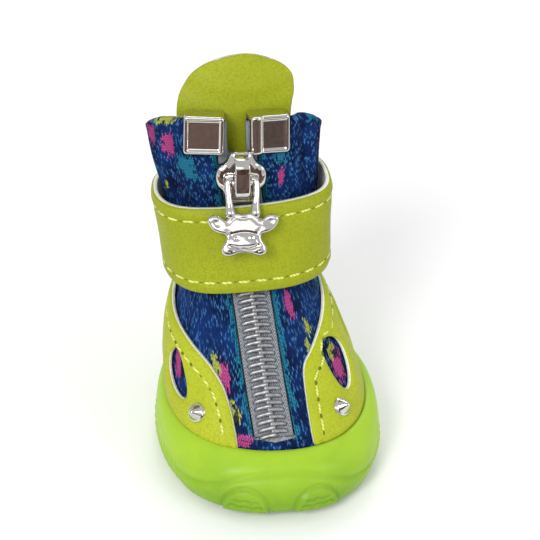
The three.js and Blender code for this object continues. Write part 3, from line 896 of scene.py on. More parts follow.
@dataclass(frozen=True)
class MetallisedNylon(Finish):
    """Nylon coil under a vapour-deposited silver coat: bright ridges, soft mirror."""

    title: str = "nylon_coil_metallised"

    def surface(self, tree: Tree) -> Node:
        """Greys the silver unevenly where the coat is thin."""
        place = node(tree, COORDS).outputs["Object"]
        wear = node(tree, NOISE, {"Vector": place, "Scale": PER_MM / 0.9, "Detail": 4.0})
        tint = {SHARE: wear, FIRST: linear("747477"), SECOND: linear("b8b8ba")}
        colour = node(tree, MIX, tint, data_type="RGBA")
        rough = node(tree, RANGE, {0: wear, 1: 0.3, 2: 0.7, 3: 0.34, 4: 0.5})
        bump = node(tree, BUMP, {"Height": wear, "Strength": 0.2, "Distance": 0.00004})
        inputs = {
            "Base Color": colour.outputs[MIXED],
            "Metallic": 0.9,
            "Roughness": rough,
            "Normal": bump,
        }
        return node(tree, PRINCIPLED, inputs)


@dataclass(frozen=True)
class HerringboneTape(Finish):
    """Polyester zip tape in a herringbone weave: matt grey, darkened with painted shade, with slanting
    threads.
    """

    title: str = "polyester_tape_woven"
    # The real threads are about 0.25 mm apart; they are drawn coarser so that they show.
    thread_mm: float = 0.45

    def surface(self, tree: Tree) -> Node:
        """Slants the threads to and fro across the tape."""
        place = node(tree, "ShaderNodeUVMap", uv_map="pattern_mm")
        split = node(tree, SPLIT, {0: place})
        zigzag = node(tree, MATH, {0: split, 1: 0.9}, operation="PINGPONG")
        lean = node(tree, MATH, {0: zigzag, 1: split.outputs[1]}, operation="ADD")
        turns = node(tree, MATH, {0: lean, 1: math.pi / self.thread_mm}, operation="MULTIPLY")
        wave = node(tree, MATH, {0: turns}, operation="SINE")
        thread = node(tree, MATH, {0: wave}, operation="ABSOLUTE")
        fuzz = node(tree, NOISE, {"Vector": place, "Scale": 3.0, "Detail": 4.0})
        nap = node(tree, MATH, {0: fuzz, 1: thread}, operation="MULTIPLY")
        share = node(tree, RANGE, {0: nap, 1: 0.05, 2: 0.5})
        # Both greys are darkened as painted shade of the tape lying between the coil's turns; the mix itself
        # is the weave.
        tint = {SHARE: share, FIRST: linear("3a3e44"), SECOND: linear("999da3")}
        colour = node(tree, MIX, tint, data_type="RGBA")
        bump = node(tree, BUMP, {"Height": nap, "Strength": 0.8, "Distance": 0.00012})
        inputs = {"Base Color": colour.outputs[MIXED], "Normal": bump, "Roughness": 0.8}
        return node(tree, PRINCIPLED, inputs)


@dataclass(frozen=True)
class TwistedThread(Finish):
    """Bonded polyester sewing thread: two plies twisted, with a slight shine."""

    title: str = "thread_twisted"
    light: str = "e2e683"
    dark: str = "b3bb45"

    def surface(self, tree: Tree) -> Node:
        """Winds light and dark plies in slanting bands."""
        place = node(tree, COORDS).outputs["Object"]
        plies = {"Vector": place, "Scale": PER_MM / 1.6, "Distortion": 0.3}
        twist = node(tree, "ShaderNodeTexWave", plies, wave_type="BANDS", bands_direction="DIAGONAL")
        tint = {SHARE: twist.outputs[1], FIRST: linear(self.dark), SECOND: linear(self.light)}
        colour = node(tree, MIX, tint, data_type="RGBA")
        bump = node(tree, BUMP, {"Height": twist.outputs[1], "Strength": 0.5, "Distance": 0.00006})
        inputs = {"Base Color": colour.outputs[MIXED], "Normal": bump, "Roughness": 0.5}
        return node(tree, PRINCIPLED, inputs)


@dataclass(frozen=True)
class NeedleHole(Finish):
    """The shade inside a needle hole in PU-coated cloth: dark olive, matt and uneven."""

    title: str = "pu_leather_needle_hole"

    def surface(self, tree: Tree) -> Node:
        """Darkens the coat's own green."""
        place = node(tree, COORDS).outputs["Object"]
        # Painted shade: the hole's dark colour, mottled at random.
        shade_mottle = node(tree, NOISE, {"Vector": place, "Scale": PER_MM / 0.6, "Detail": 3.0})
        tint = {SHARE: shade_mottle, FIRST: linear("4c5612"), SECOND: linear("6f7a1c")}
        colour = node(tree, MIX, tint, data_type="RGBA")
        return node(tree, PRINCIPLED, {"Base Color": colour.outputs[MIXED], "Roughness": 0.9})


@dataclass(frozen=True)
class StudioPaper(Finish):
    """Matt white backdrop paper: nearly even, with a trace of tooth."""

    title: str = "backdrop_paper"
    colour: str = "f4f4f2"

    def surface(self, tree: Tree) -> Node:
        """Keeps the paper pale, with faint clouds."""
        place = node(tree, COORDS).outputs["Object"]
        tooth = node(tree, NOISE, {"Vector": place, "Scale": PER_MM / 40.0, "Detail": 4.0})
        tint = {SHARE: tooth, FIRST: linear(self.colour), SECOND: linear("eeeeec")}
        colour = node(tree, MIX, tint, data_type="RGBA")
        return node(tree, PRINCIPLED, {"Base Color": colour.outputs[MIXED], "Roughness": 0.9})


@dataclass(frozen=True)
class StudioCard(Finish):
    """Dark brown card in front of the boot, so that bright metal has something dark to mirror."""

    title: str = "studio_card"

    def surface(self, tree: Tree) -> Node:
        """Browns the card unevenly."""
        place = node(tree, COORDS).outputs["Object"]
        cloud = node(tree, NOISE, {"Vector": place, "Scale": PER_MM / 110.0, "Detail": 3.0})
        share = node(tree, RANGE, {0: cloud, 1: 0.38, 2: 0.62})
        tint = {SHARE: share, FIRST: linear("2a1a15"), SECOND: linear("694a3c")}
        colour = node(tree, MIX, tint, data_type="RGBA")
        return node(tree, PRINCIPLED, {"Base Color": colour.outputs[MIXED], "Roughness": 0.9})


PU = GrainedPu()
# A darker copy of the same grained PU for the tongue and the strap: painted shade.
PU_SHADED = GrainedPu("pu_leather_embossed_shaded", "8d9518", "7f8714", "979f1c", 0.46)
FOAM, LINING, KNIT, TPR = FoamEdge(), BrushedCloth(), PrintedKnit(), MouldedTpr()
INSOLE_CLOTH = BrushedCloth("insole_cloth_brushed", "b7babd", "84888c")
CHROME, COIL, TAPE = Chrome(), MetallisedNylon(), HerringboneTape()
THREAD, HOLE = TwistedThread(), NeedleHole()


# ------------------------------------------------------------------ repeated shapes
class Repeater:
    """A node tree that sets a small shape at every point of a mesh, turned to the point's own way."""

    def __init__(self) -> None:
        """Builds the tree and its named inputs."""
        tree = bpy.data.node_groups.new("set_shapes_along_a_line", "GeometryNodeTree")
        kinds = {
            "Places": "Geometry", "Shape": "Object", "Size": "Vector",
            "Turn": "Float", "Seed": "Int", "Finish": "Material",
        }
        for title, kind in kinds.items():
            tree.interface.new_socket(title, in_out="INPUT", socket_type="NodeSocket" + kind)
        tree.interface.new_socket("Pieces", in_out="OUTPUT", socket_type="NodeSocketGeometry")
        given = node(tree, "NodeGroupInput").outputs
        named = "GeometryNodeInputNamedAttribute"
        along = node(tree, named, {"Name": "along"}, data_type="FLOAT_VECTOR").outputs["Attribute"]
        out = node(tree, named, {"Name": "out"}, data_type="FLOAT_VECTOR").outputs["Attribute"]
        axes = {"Primary Axis": along, "Secondary Axis": out}
        turn = node(tree, "FunctionNodeAxesToRotation", axes, primary_axis="X", secondary_axis="Z")
        shape = node(tree, "GeometryNodeObjectInfo", {"Object": given["Shape"], "As Instance": True})
        placing = {
            "Points": given["Places"],
            "Instance": shape.outputs["Geometry"],
            "Rotation": turn,
            "Scale": given["Size"],
        }
        placed = node(tree, "GeometryNodeInstanceOnPoints", placing)
        back = node(tree, "ShaderNodeMath", {0: given["Turn"], 1: -1.0}, operation="MULTIPLY")
        least = node(tree, "ShaderNodeCombineXYZ", {2: back})
        most = node(tree, "ShaderNodeCombineXYZ", {2: given["Turn"]})
        spread = {0: least, 1: most, "Seed": given["Seed"]}
        chance = node(tree, "FunctionNodeRandomValue", spread, data_type="FLOAT_VECTOR")
        wobble = {"Instances": placed, "Rotation": chance, "Local Space": True}
        turned = node(tree, "GeometryNodeRotateInstances", wobble)
        solid = node(tree, "GeometryNodeRealizeInstances", {"Geometry": turned})
        dressed = {"Geometry": solid, "Material": given["Finish"]}
        coated = node(tree, "GeometryNodeSetMaterial", dressed)
        node(tree, "NodeGroupOutput", {"Pieces": coated})
        self.tree = tree

    def set_out(
        self,
        name: str,
        shape: Shell,
        places: Array,
        along: Array,
        out: Array,
        size_mm: tuple[float, float, float],
        finish: Finish,
        turn: float = 0.0,
    ) -> Piece:
        """Sets a shape at many places and makes one plain mesh of them.

        Args:
            name: The piece's name.
            shape: The shape's points and faces; X runs along and Z out.
            places: Where each stands, in millimetres.
            along: Each one's X direction.
            out: Each one's Z direction.
            size_mm: The shape's scale on its three axes.
            finish: The finish of all of them.
            turn: The most that one is turned at random about its Z, in radians.

        Returns:
            The new object.
        """
        sample = make_piece(name + "_shape", shape[0], shape[1], [finish.material()])
        piece = make_piece(name, places, [], [])
        for key, values in (("along", along), ("out", out)):
            layer = piece.data.attributes.new(key, "FLOAT_VECTOR", "POINT")
            layer.data.foreach_set("vector", np.asarray(values, np.float32).ravel())
        modifier = piece.modifiers.new("set_out", "NODES")
        modifier.node_group = self.tree
        values = {
            "Shape": sample, "Size": size_mm, "Turn": turn, "Seed": len(places), "Finish": finish.material(),
        }
        for socket in self.tree.interface.items_tree:
            if socket.name in values:
                modifier[socket.identifier] = values[socket.name]
        apply(piece, modifier, sample)
        return piece


def stitch_shape() -> Shell:
    """Makes one thread stitch of length, width and height 1, sunk at both ends."""
    steps = np.linspace(-0.5, 0.5, 7)
    radii = 0.5 * np.sqrt(np.clip(1.0 - (1.96 * steps) ** 4, 0.02, 1.0))
    sink = -0.9 * (2.0 * steps) ** 4
    turn = circle(7)
    rings = [
        np.stack([np.full(7, x), r * np.cos(turn), r * np.sin(turn) + low], axis=1)
        for x, r, low in zip(steps, radii, sink)
    ]
    return ring_stack(np.array(rings))


def hole_shape() -> Shell:
    """Makes one low oval mound of length, width and height 1; dark, it is the painted shade of a needle hole.
    """
    turn = circle(8)
    rings = [
        np.stack([r * np.cos(turn), r * np.sin(turn), np.full(8, z)], axis=1)
        for r, z in ((0.2, -0.5), (0.5, -0.4), (0.5, 0.2), (0.25, 0.5))
    ]
    return ring_stack(np.array(rings))


@dataclass
class SeamLine:
    """A row of lockstitches on a surface."""

    pitch: float = 3.3
    length: float = 2.75
    width: float = 0.52
    height: float = 0.42

    def sew(self, name: str, tool: Repeater, line: Array, out: Array, slot: str = "sewing_thread") -> None:
        """Sews along a line and hands the thread and the needle holes over.

        Args:
            name: The seam's name.
            tool: The tree that sets the stitches.
            line: Close points of the seam on the surface, in millimetres.
            out: The surface's outward direction at each point.
            slot: The record's material slot.
        """
        run = lengths(line)
        count = int(run[-1] / self.pitch)
        centres = (np.arange(count) + 0.5) * run[-1] / count

        def read(values: Array, places: Array) -> Array:
            """Reads values along the seam."""
            return np.stack([np.interp(places, run, values[:, k]) for k in range(3)], axis=1)

        reach = 0.5
        along = read(line, centres + reach) - read(line, centres - reach)
        thread = tool.set_out(
            name, stitch_shape(), read(line, centres) + 0.02 * read(out, centres), along,
            read(out, centres), (self.length, self.width, self.height), THREAD, 0.06,
        )
        hand_over(thread, slot)
        ends = np.arange(count) * run[-1] / count
        way = read(line, ends + reach) - read(line, ends - reach)
        # The holes are dark mounds: painted shade at the stitch ends.
        holes = tool.set_out(
            name + "_holes", hole_shape(), read(line, ends), way, read(out, ends), (0.85, 0.6, 0.12), HOLE,
        )
        hand_over(holes, slot)


# ------------------------------------------------------------------ sole and insole
@dataclass(frozen=True)
class SoleRow:
    """One row of the cup sole's profile, in millimetres."""

    z: float
    front: float
    back: float
    half: float


@dataclass(frozen=True)
class Groove:
    """One zigzag groove across the tread."""

    y: float
    half: float


@dataclass
class CupSole:
    """The moulded cup sole: tread, bumper wall, rim and the cup that the upper sits in."""

    rows: tuple[SoleRow, ...] = (
        SoleRow(0.0, -25.6, 26.6, 19.6),
        SoleRow(1.2, -28.0, 28.2, 21.3),
        SoleRow(4.0, -29.0, 29.0, 22.3),
        SoleRow(7.0, -28.5, 29.0, 22.5),
        SoleRow(9.6, -26.7, 28.7, 22.2),
        SoleRow(11.2, -24.6, 28.2, 21.6),
        SoleRow(RIM_TOP, -23.1, 27.3, 20.5),
        SoleRow(11.5, -22.1, 26.7, 19.5),
        SoleRow(9.0, -22.5, 26.4, 19.3),
        SoleRow(4.2, -23.3, 26.1, 19.1),
        SoleRow(SOLE_FLOOR, -23.0, 25.8, 19.0),
    )
    tread_line: tuple[tuple[float, float], ...] = (
        (-31, 3.0), (-26, 1.6), (-21, 0.5), (-17, 0.0), (-2, 0.0),
        (2, 0.8), (7, 0.8), (11, 0.0), (25, 0.0), (31, 0.9),
    )
    grooves: tuple[Groove, ...] = (
        Groove(-17.5, 12), Groove(-12.0, 14), Groove(-6.5, 15), Groove(-1.0, 14),
        Groove(12.0, 12.5), Groove(17.5, 11.5), Groove(23.0, 9),
    )
    groove_depth: float = 1.0
    groove_width: float = 1.6
    groove_wave: float = 1.1
    square: float = 2.15
    fuller: float = 0.06
    columns: int = 432
    tread_rows: int = 78
    wall_rows: int = 78
    floor_rows: int = 10
    disc_x: float = 6.8
    disc_z: float = 2.9
    disc_radius: float = 4.2
    disc_raise: float = 0.6

    def oval(self, front: Array, back: Array, half: Array, out: Array, bearing: Array) -> Array:
        """Places X and Y on level ovals, at bearings and so far out of the plain oval."""
        power = 2.0 / self.square
        across = bowed(np.sin(bearing), power)
        along = bowed(np.cos(bearing), power)
        x = (half + out) * across * (1 + self.fuller * np.cos(bearing))
        y = (front + back) / 2 - ((back - front) / 2 + out) * along
        return np.stack([x, y], axis=-1)

    def tread(self, y: Array) -> Array:
        """Gives the tread's height from toe spring to heel, its corners rounded off."""
        ys, zs = np.array(self.tread_line).T
        spread = np.linspace(-1.2, 1.2, 7)
        return np.mean([np.interp(y + step, ys, zs) for step in spread], axis=0)

    def carved(self, x: Array, y: Array) -> Array:
        """Gives how deep the grooves cut at places on the tread."""
        depth = np.zeros_like(x)
        steps = 8
        for row in self.grooves:
            share = (x + row.half) / (2 * row.half) * steps
            tooth = np.abs((share % 2.0) - 1.0) * 2.0 - 1.0
            off = np.abs(y - row.y + self.groove_wave * tooth)
            inner = 1.0 - smooth(self.groove_width / 2 - 0.25, self.groove_width / 2 + 0.15, off)
            inner *= 1.0 - smooth(row.half - 0.3, row.half + 0.1, np.abs(x))
            depth = np.maximum(depth, self.groove_depth * inner)
        return depth

    def relief(self, z: Array, bearing: Array, x: Array) -> Array:
        """Gives how far the wall's details stand out of its plain form.

        Args:
            z: Heights on the wall.
            bearing: Bearings in radians.
            x: The places' X on the plain form.

        Returns:
            Distances out, in millimetres.
        """
        turn = np.degrees(np.abs((bearing + math.pi) % FULL_TURN - math.pi))
        crease = 9.3 - 4.4 * smooth(6.0, 50.0, turn) + 0.35 * bell(x - 1.0, 4.5)
        front = 1.0 - smooth(44.0, 64.0, turn)
        out = -0.34 * bell(z - crease, 0.42) * front
        out += 0.30 * front * smooth(0.3, -0.5, z - crease)
        out += 0.25 * bell(z - crease - 1.7, 1.1) * front
        side_crease = bell(z - 8.6, 0.35) * smooth(52.0, 72.0, turn)
        out -= 0.16 * side_crease
        rib = np.cos(bearing * 44.0) ** 2
        out += 0.34 * rib * smooth(50.0, 66.0, turn) * smooth(1.2, 2.0, z) * smooth(6.6, 5.2, z)
        for side in (-1, 1):
            away = np.hypot(x - side * self.disc_x, z - self.disc_z)
            disc = (1.0 - smooth(self.disc_radius - 0.25, self.disc_radius, away)) * (turn < 60)
            out += self.disc_raise * disc
            rim = bell(away - self.disc_radius - 0.25, 0.3) * (turn < 60)
            wave = self.disc_z + 1.9 + 0.5 * np.abs(((x - side * self.disc_x) / 1.15) % 2.0 - 1.0)
            inner = 1.0 - smooth(self.disc_radius - 1.2, self.disc_radius - 0.8, away)
            grooves = bell(z - wave, 0.32) + bell(z - wave + 1.3, 0.32)
            out -= 0.3 * rim + 0.42 * grooves * inner * (turn < 60)
        return out

    def build(self) -> None:
        """Makes the sole and hands it over."""
        bearing = circle(self.columns)
        keys = ("z", "front", "back", "half")
        table = {key: np.array([getattr(row, key) for row in self.rows]) for key in keys}
        steps = np.hypot(np.diff(table["z"]), np.diff(table["half"]) + np.diff(table["back"]) * 0.5)
        run = np.concatenate([[0.0], np.cumsum(steps)])
        rim_run = run[[row.z for row in self.rows].index(RIM_TOP)]
        shares = np.concatenate([
            np.linspace(0.0, rim_run, int(self.wall_rows * 0.76), endpoint=False),
            np.linspace(rim_run, run[-1], self.wall_rows - int(self.wall_rows * 0.76)),
        ])
        wall = {key: through(run, column, shares)[:, None] for key, column in table.items()}
        around = bearing[None, :]
        plain = self.oval(wall["front"], wall["back"], wall["half"], 0.0, around)
        z = np.broadcast_to(wall["z"], plain.shape[:2])
        outer = (shares <= rim_run)[:, None]
        fade = smooth(0.2, 1.2, z) * outer * smooth(rim_run, rim_run - 1.0, shares)[:, None]
        out = self.relief(z, around, plain[..., 0]) * fade
        level = self.oval(wall["front"], wall["back"], wall["half"], out, around)
        rise = TOE_RISE * np.clip((z - SOLE_FLOOR) / (RIM_TOP - SOLE_FLOOR), 0.0, None)
        height = z + rise * np.clip(np.cos(around), 0.0, None) ** 3
        under = self.tread(level[..., 1])
        round_off = 0.8 * smooth(0.0, 1.0, under)
        lifted = 0.5 * (height + under + np.sqrt((height - under) ** 2 + round_off**2))
        height = np.where(outer, lifted, height)
        wall_rings = np.concatenate([level, height[..., None]], axis=-1)

        share = np.linspace(0.02, 1.0, self.tread_rows, endpoint=False)[:, None, None]
        middle = np.array([0.0, 0.5])
        flat = middle + share * (wall_rings[0, :, :2] - middle)
        low = self.tread(flat[..., 1]) + self.carved(flat[..., 0], flat[..., 1])
        low += 0.2 * smooth(0.0, 1.0, self.tread(flat[..., 1])) * share[..., 0]
        tread_rings = np.concatenate([flat, low[..., None]], axis=-1)

        share = np.linspace(1.0, 0.02, self.floor_rows + 1)[1:, None, None]
        flat = middle + share * (wall_rings[-1, :, :2] - middle)
        level = np.full(flat.shape[:2] + (1,), SOLE_FLOOR)
        floor_rings = np.concatenate([flat, level], axis=-1)
        points, faces = ring_stack(np.concatenate([tread_rings, wall_rings, floor_rings]))
        piece = make_piece("sole_cup", points, faces, [TPR.material()])
        hand_over(piece, "moulded_tpr", "outsole")


@dataclass
class Insole:
    """A foam board with a cloth face, lying in the cup."""

    inset: float = 2.35
    low: float = SOLE_FLOOR + 0.35
    thick: float = 1.5
    columns: int = 144

    def build(self) -> None:
        """Makes the board with a soft edge and a dip pressed in by wear at the heel and the ball."""
        bearing = circle(self.columns)
        profile = [(s, 0.0) for s in (0.05, 0.35, 0.7, 0.9, 0.985)]
        profile += [(1.0, 0.3), (1.0, 0.75), (0.985, 0.95), (0.955, 1.0)]
        profile += [(s, 1.0) for s in np.linspace(0.92, 0.04, 22)]
        outline = LAST.point(self.low, bearing, -self.inset)
        middle = np.array([0.0, 1.5, self.low])
        rings = []
        for share, up in profile:
            ring = middle + share * (outline - middle)
            ball, heel = (np.hypot(ring[:, 0] / 9, (ring[:, 1] - y) / 8) for y in (-8.0, 15.0))
            dip = 0.35 * bell(ball, 1.0) + 0.4 * bell(heel, 1.0)
            ring[:, 2] = self.low + up * (self.thick - dip)
            rings.append(ring)
        points, faces = ring_stack(np.array(rings))
        piece = make_piece("insole_board", points, faces, [INSOLE_CLOTH.material()])
        hand_over(piece, "foam_board", "insole")


# ------------------------------------------------------------------ upper
class Ink(Enum):
    """The colours of the knit's print; teal also paints the highlight on the collar's top."""

    TEAL = "teal"
    PINK = "pink"
    LIME = "lime"
    BLACK = "black"


@dataclass(frozen=True)
class Patch:
    """One blot of the print, or of the painted highlight on the collar's top: its ink, bearing in degrees,
    height, half sizes and turn.
    """

    ink: Ink
    around: float
    z: float
    half: float
    tall: float
    turn: float = 0.0


@dataclass(frozen=True)
class Fold:
    """A soft ridge, or a trough if its depth is negative, by bearing in degrees and height."""

    around: float
    z: float
    half: float
    tall: float
    depth: float
    lean: float = 0.0


@dataclass
class KnitUpper:
    """The hollow knit upper, open at the collar, down the throat and underneath."""

    low: float = 3.85
    throat_low: float = 13.1
    wall: float = 2.0
    rows: int = 118
    columns: int = 236
    around_mm: float = 17.5
    slant_from: float = 10.8
    slant: float = 0.64
    slant_low: float = 50.0
    folds: tuple[Fold, ...] = (
        Fold(46, 60, 1.5, 8.5, -1.0, -0.02),
        Fold(37, 61, 2.0, 8.0, 0.35),
        Fold(57, 61, 2.2, 8.0, 0.75, -0.03),
        Fold(68, 59, 1.4, 9.0, -0.9, 0.03),
        Fold(82, 60, 2.6, 9.0, 0.5),
        Fold(-44, 59, 1.3, 9.0, -0.7, 0.03),
        Fold(-54, 61, 2.0, 8.0, 0.6, 0.02),
        Fold(-64, 59, 1.4, 9.5, -0.95, 0.03),
        Fold(-78, 60, 2.6, 9.0, 0.45),
        Fold(118, 59, 2.6, 9.0, -0.8, 0.04),
        Fold(146, 60, 3.4, 9.0, 0.5),
        Fold(172, 59, 2.4, 9.0, -0.7, -0.03),
        Fold(-112, 59, 2.4, 9.0, -0.7, -0.05),
        Fold(-140, 60, 3.0, 9.0, 0.5),
        Fold(-158, 58, 2.2, 8.0, -0.6, 0.04),
        Fold(40, 33.5, 7.0, 0.9, -0.4, 0.04),
        Fold(-42, 34.2, 7.5, 0.9, -0.45, -0.05),
        Fold(62, 30.4, 8.0, 1.0, 0.3, 0.05),
        Fold(-66, 31.0, 8.0, 1.1, 0.3, -0.05),
        Fold(180, 36.0, 13.0, 1.4, -0.5),
        Fold(174, 40.0, 10.0, 1.6, 0.35),
        Fold(30, 24.0, 3.0, 6.0, 0.25),
        Fold(-28, 26.0, 3.0, 6.0, 0.3),
    )
    patches: tuple[Patch, ...] = (
        Patch(Ink.PINK, -66, 63.0, 2.2, 3.4, 10),
        Patch(Ink.PINK, -44, 62.2, 2.0, 3.2, -12),
        Patch(Ink.LIME, -46, 67.3, 4.5, 1.2),
        # Painted highlight: teal along the rolled top of the collar, set as two teal blots.
        Patch(Ink.TEAL, -62, 67.0, 6.0, 1.6),
        Patch(Ink.TEAL, 64, 67.0, 6.0, 1.5),
        Patch(Ink.TEAL, -30, 58.0, 2.6, 3.6, 20),
        Patch(Ink.TEAL, 24, 61.0, 2.2, 3.0, -20),
        Patch(Ink.PINK, 23, 56.2, 0.9, 2.3, -10),
        Patch(Ink.LIME, -58, 53.5, 3.0, 1.1, 15),
        Patch(Ink.PINK, 27, 31.5, 1.5, 2.7, 8),
        Patch(Ink.LIME, 38, 27.4, 1.1, 1.7, 10),
        Patch(Ink.LIME, 33, 25.0, 0.9, 1.2),
        Patch(Ink.PINK, -24, 21.6, 1.6, 2.8, 12),
        Patch(Ink.PINK, -30, 19.4, 1.1, 1.6, -20),
        Patch(Ink.LIME, -29, 23.2, 1.1, 2.0, 25),
        Patch(Ink.LIME, -22, 16.8, 2.3, 2.0, -18),
        Patch(Ink.BLACK, -27, 17.0, 0.6, 3.0, -14),
        Patch(Ink.BLACK, -19, 15.6, 0.5, 2.4, -10),
        Patch(Ink.PINK, -18, 13.0, 3.0, 1.2),
        Patch(Ink.PINK, -66, 19.6, 2.2, 3.4, 5),
        Patch(Ink.BLACK, -61, 19.6, 0.8, 3.6, 5),
        Patch(Ink.PINK, 57, 19.8, 2.6, 3.0, 40),
        Patch(Ink.LIME, 54, 22.2, 1.5, 1.6, 35),
        Patch(Ink.BLACK, 57, 21.4, 0.7, 2.6, 50),
        Patch(Ink.LIME, 98, 41.0, 7.5, 8.0, 12),
        Patch(Ink.TEAL, 78, 33.0, 3.0, 5.0, 20),
        Patch(Ink.PINK, 118, 33.6, 3.2, 2.2, -15),
        Patch(Ink.PINK, 84, 60.0, 2.4, 4.2, 8),
        Patch(Ink.LIME, 122, 62.0, 3.0, 4.0, -20),
        Patch(Ink.PINK, 152, 60.5, 2.6, 3.4, 14),
        Patch(Ink.TEAL, 176, 62.0, 4.0, 3.6, 10),
        Patch(Ink.LIME, 168, 46.0, 6.5, 5.0, -10),
        Patch(Ink.PINK, 190, 34.0, 4.0, 2.0, 10),
        Patch(Ink.LIME, -96, 37.0, 6.5, 7.0, -14),
        Patch(Ink.PINK, -120, 42.0, 2.8, 4.0, 18),
        Patch(Ink.TEAL, -82, 56.5, 3.4, 4.5, 12),
        Patch(Ink.PINK, -104, 62.0, 2.6, 3.2, -10),
        Patch(Ink.LIME, -138, 59.0, 4.0, 4.6, 16),
        Patch(Ink.TEAL, -152, 36.0, 4.4, 3.6, -12),
        Patch(Ink.PINK, 104, 22.0, 2.2, 2.6, 20),
        Patch(Ink.TEAL, -104, 21.4, 2.4, 3.0, -20),
        Patch(Ink.LIME, -110, 20.0, 1.3, 1.6, 10),
    )

    def away(self, bearing: Array, z: Array, around: float, height: float) -> tuple[Array, Array]:
        """Gives how far places lie across and above a spot, in millimetres."""
        turn = (bearing - math.radians(around) + math.pi) % FULL_TURN - math.pi
        return turn * self.around_mm, z - height

    def creases(self, bearing: Array, z: Array) -> Array:
        """Adds up the ridges and troughs at places on the wall."""
        out = np.zeros_like(bearing)
        for fold in self.folds:
            x, up = self.away(bearing, z, fold.around, fold.z)
            out += fold.depth * bell(x - fold.lean * up * 4, fold.half) * bell(up, fold.tall)
        collar_sag = 0.2 * np.sin(bearing * 5.0 + 0.6) * smooth(56.0, COLLAR_Z, z)
        return out + collar_sag

    def printed(self, ink: Ink, bearing: Array, z: Array) -> Array:
        """Gives an ink's strength at places: above 0 inside a blot, 0 or less outside."""
        level = np.full(bearing.shape, -1.0)
        for patch in self.patches:
            if patch.ink is not ink:
                continue
            x, up = self.away(bearing, z, patch.around, patch.z)
            turn = math.radians(patch.turn)
            u = (x * math.cos(turn) + up * math.sin(turn)) / patch.half
            v = (up * math.cos(turn) - x * math.sin(turn)) / patch.tall
            level = np.maximum(level, 0.9 * (1.0 - np.hypot(u, v)))
        return level

    def build(self) -> None:
        """Makes the knit shell, prints it and hands it over."""
        levels = np.concatenate([
            np.linspace(self.low, self.throat_low - 0.05, 12),
            np.linspace(self.throat_low, COLLAR_Z - 1.0, self.rows - 24),
            COLLAR_Z - 1.0 + np.sin(np.linspace(0.0, 1.0, 13)[1:] * math.pi / 2),
        ])
        z = levels[:, None]
        open_row = z > self.throat_low - 0.02
        edge = np.where(open_row, LAST.bearing(z, THROAT_HALF), 0.0)
        far_edge = np.where(open_row, LAST.bearing(z, -THROAT_HALF) + FULL_TURN, FULL_TURN)
        share = np.linspace(0.0, 1.0, self.columns)
        share = share - 0.11 / FULL_TURN * np.sin(FULL_TURN * share)
        bearing = edge + (far_edge - edge) * share[None, :]
        level = np.broadcast_to(z, bearing.shape)
        top = COLLAR_Z - self.slant * np.clip(LAST.point(level, bearing)[..., 1] - self.slant_from, 0.0, None)
        share_up = np.clip((level - self.slant_low) / (COLLAR_Z - self.slant_low), 0.0, 1.0)
        z = level - (COLLAR_Z - top) * share_up
        middle = LAST.at(z)["side"]
        half = self.wall / 2
        near_throat = np.abs(LAST.point(z, bearing)[..., 0] - middle) - THROAT_HALF
        facing = np.cos(bearing) > 0
        near_throat = np.where(facing & open_row, near_throat, 99.0)
        below = top - z
        to_edge = np.minimum(near_throat, below)
        round_off = half * np.sqrt(np.clip(1.0 - (1.0 - np.clip(to_edge / half, 0.0, 1.0)) ** 2, 0.02, 1.0))
        hem = 0.22 * bell(near_throat - 1.1, 0.9) + 0.18 * bell(below - 1.0, 0.9)
        lumps = self.creases(bearing, z) * smooth(self.throat_low, 24.0, z) * smooth(0.3, 3.0, near_throat)
        outer = LAST.point(z, bearing, -half + round_off + hem + lumps)
        inner = LAST.point(z, bearing, -half - round_off * 0.95 + lumps)
        inks = {"ink_" + ink.value: self.printed(ink, bearing, z) for ink in Ink}
        net = np.cos(bearing * self.around_mm * 2.4 + z * 1.2)
        net = net * np.cos(z * 2.2 - bearing * self.around_mm * 1.1)
        wide = smooth(0.05, 0.35, inks["ink_lime"]) * smooth(2.0, 6.0, np.abs(z - 25.0))
        inks["ink_black"] = np.maximum(inks["ink_black"], np.where(net > 0.45, wide * 0.9 - 0.2, -1.0))
        inks["ink_teal"] = np.maximum(inks["ink_teal"], 0.55 - 0.45 * near_throat)
        pattern = np.stack([bearing * self.around_mm, z], axis=-1)
        piece = closed_grid(
            "upper_knit", outer, inner, [KNIT.material(), LINING.material(), KNIT.material()],
            joined=12, uv=pattern, attributes=inks,
        )
        weld(piece, 0.02)
        hand_over(piece, "printed_knit", "upper")


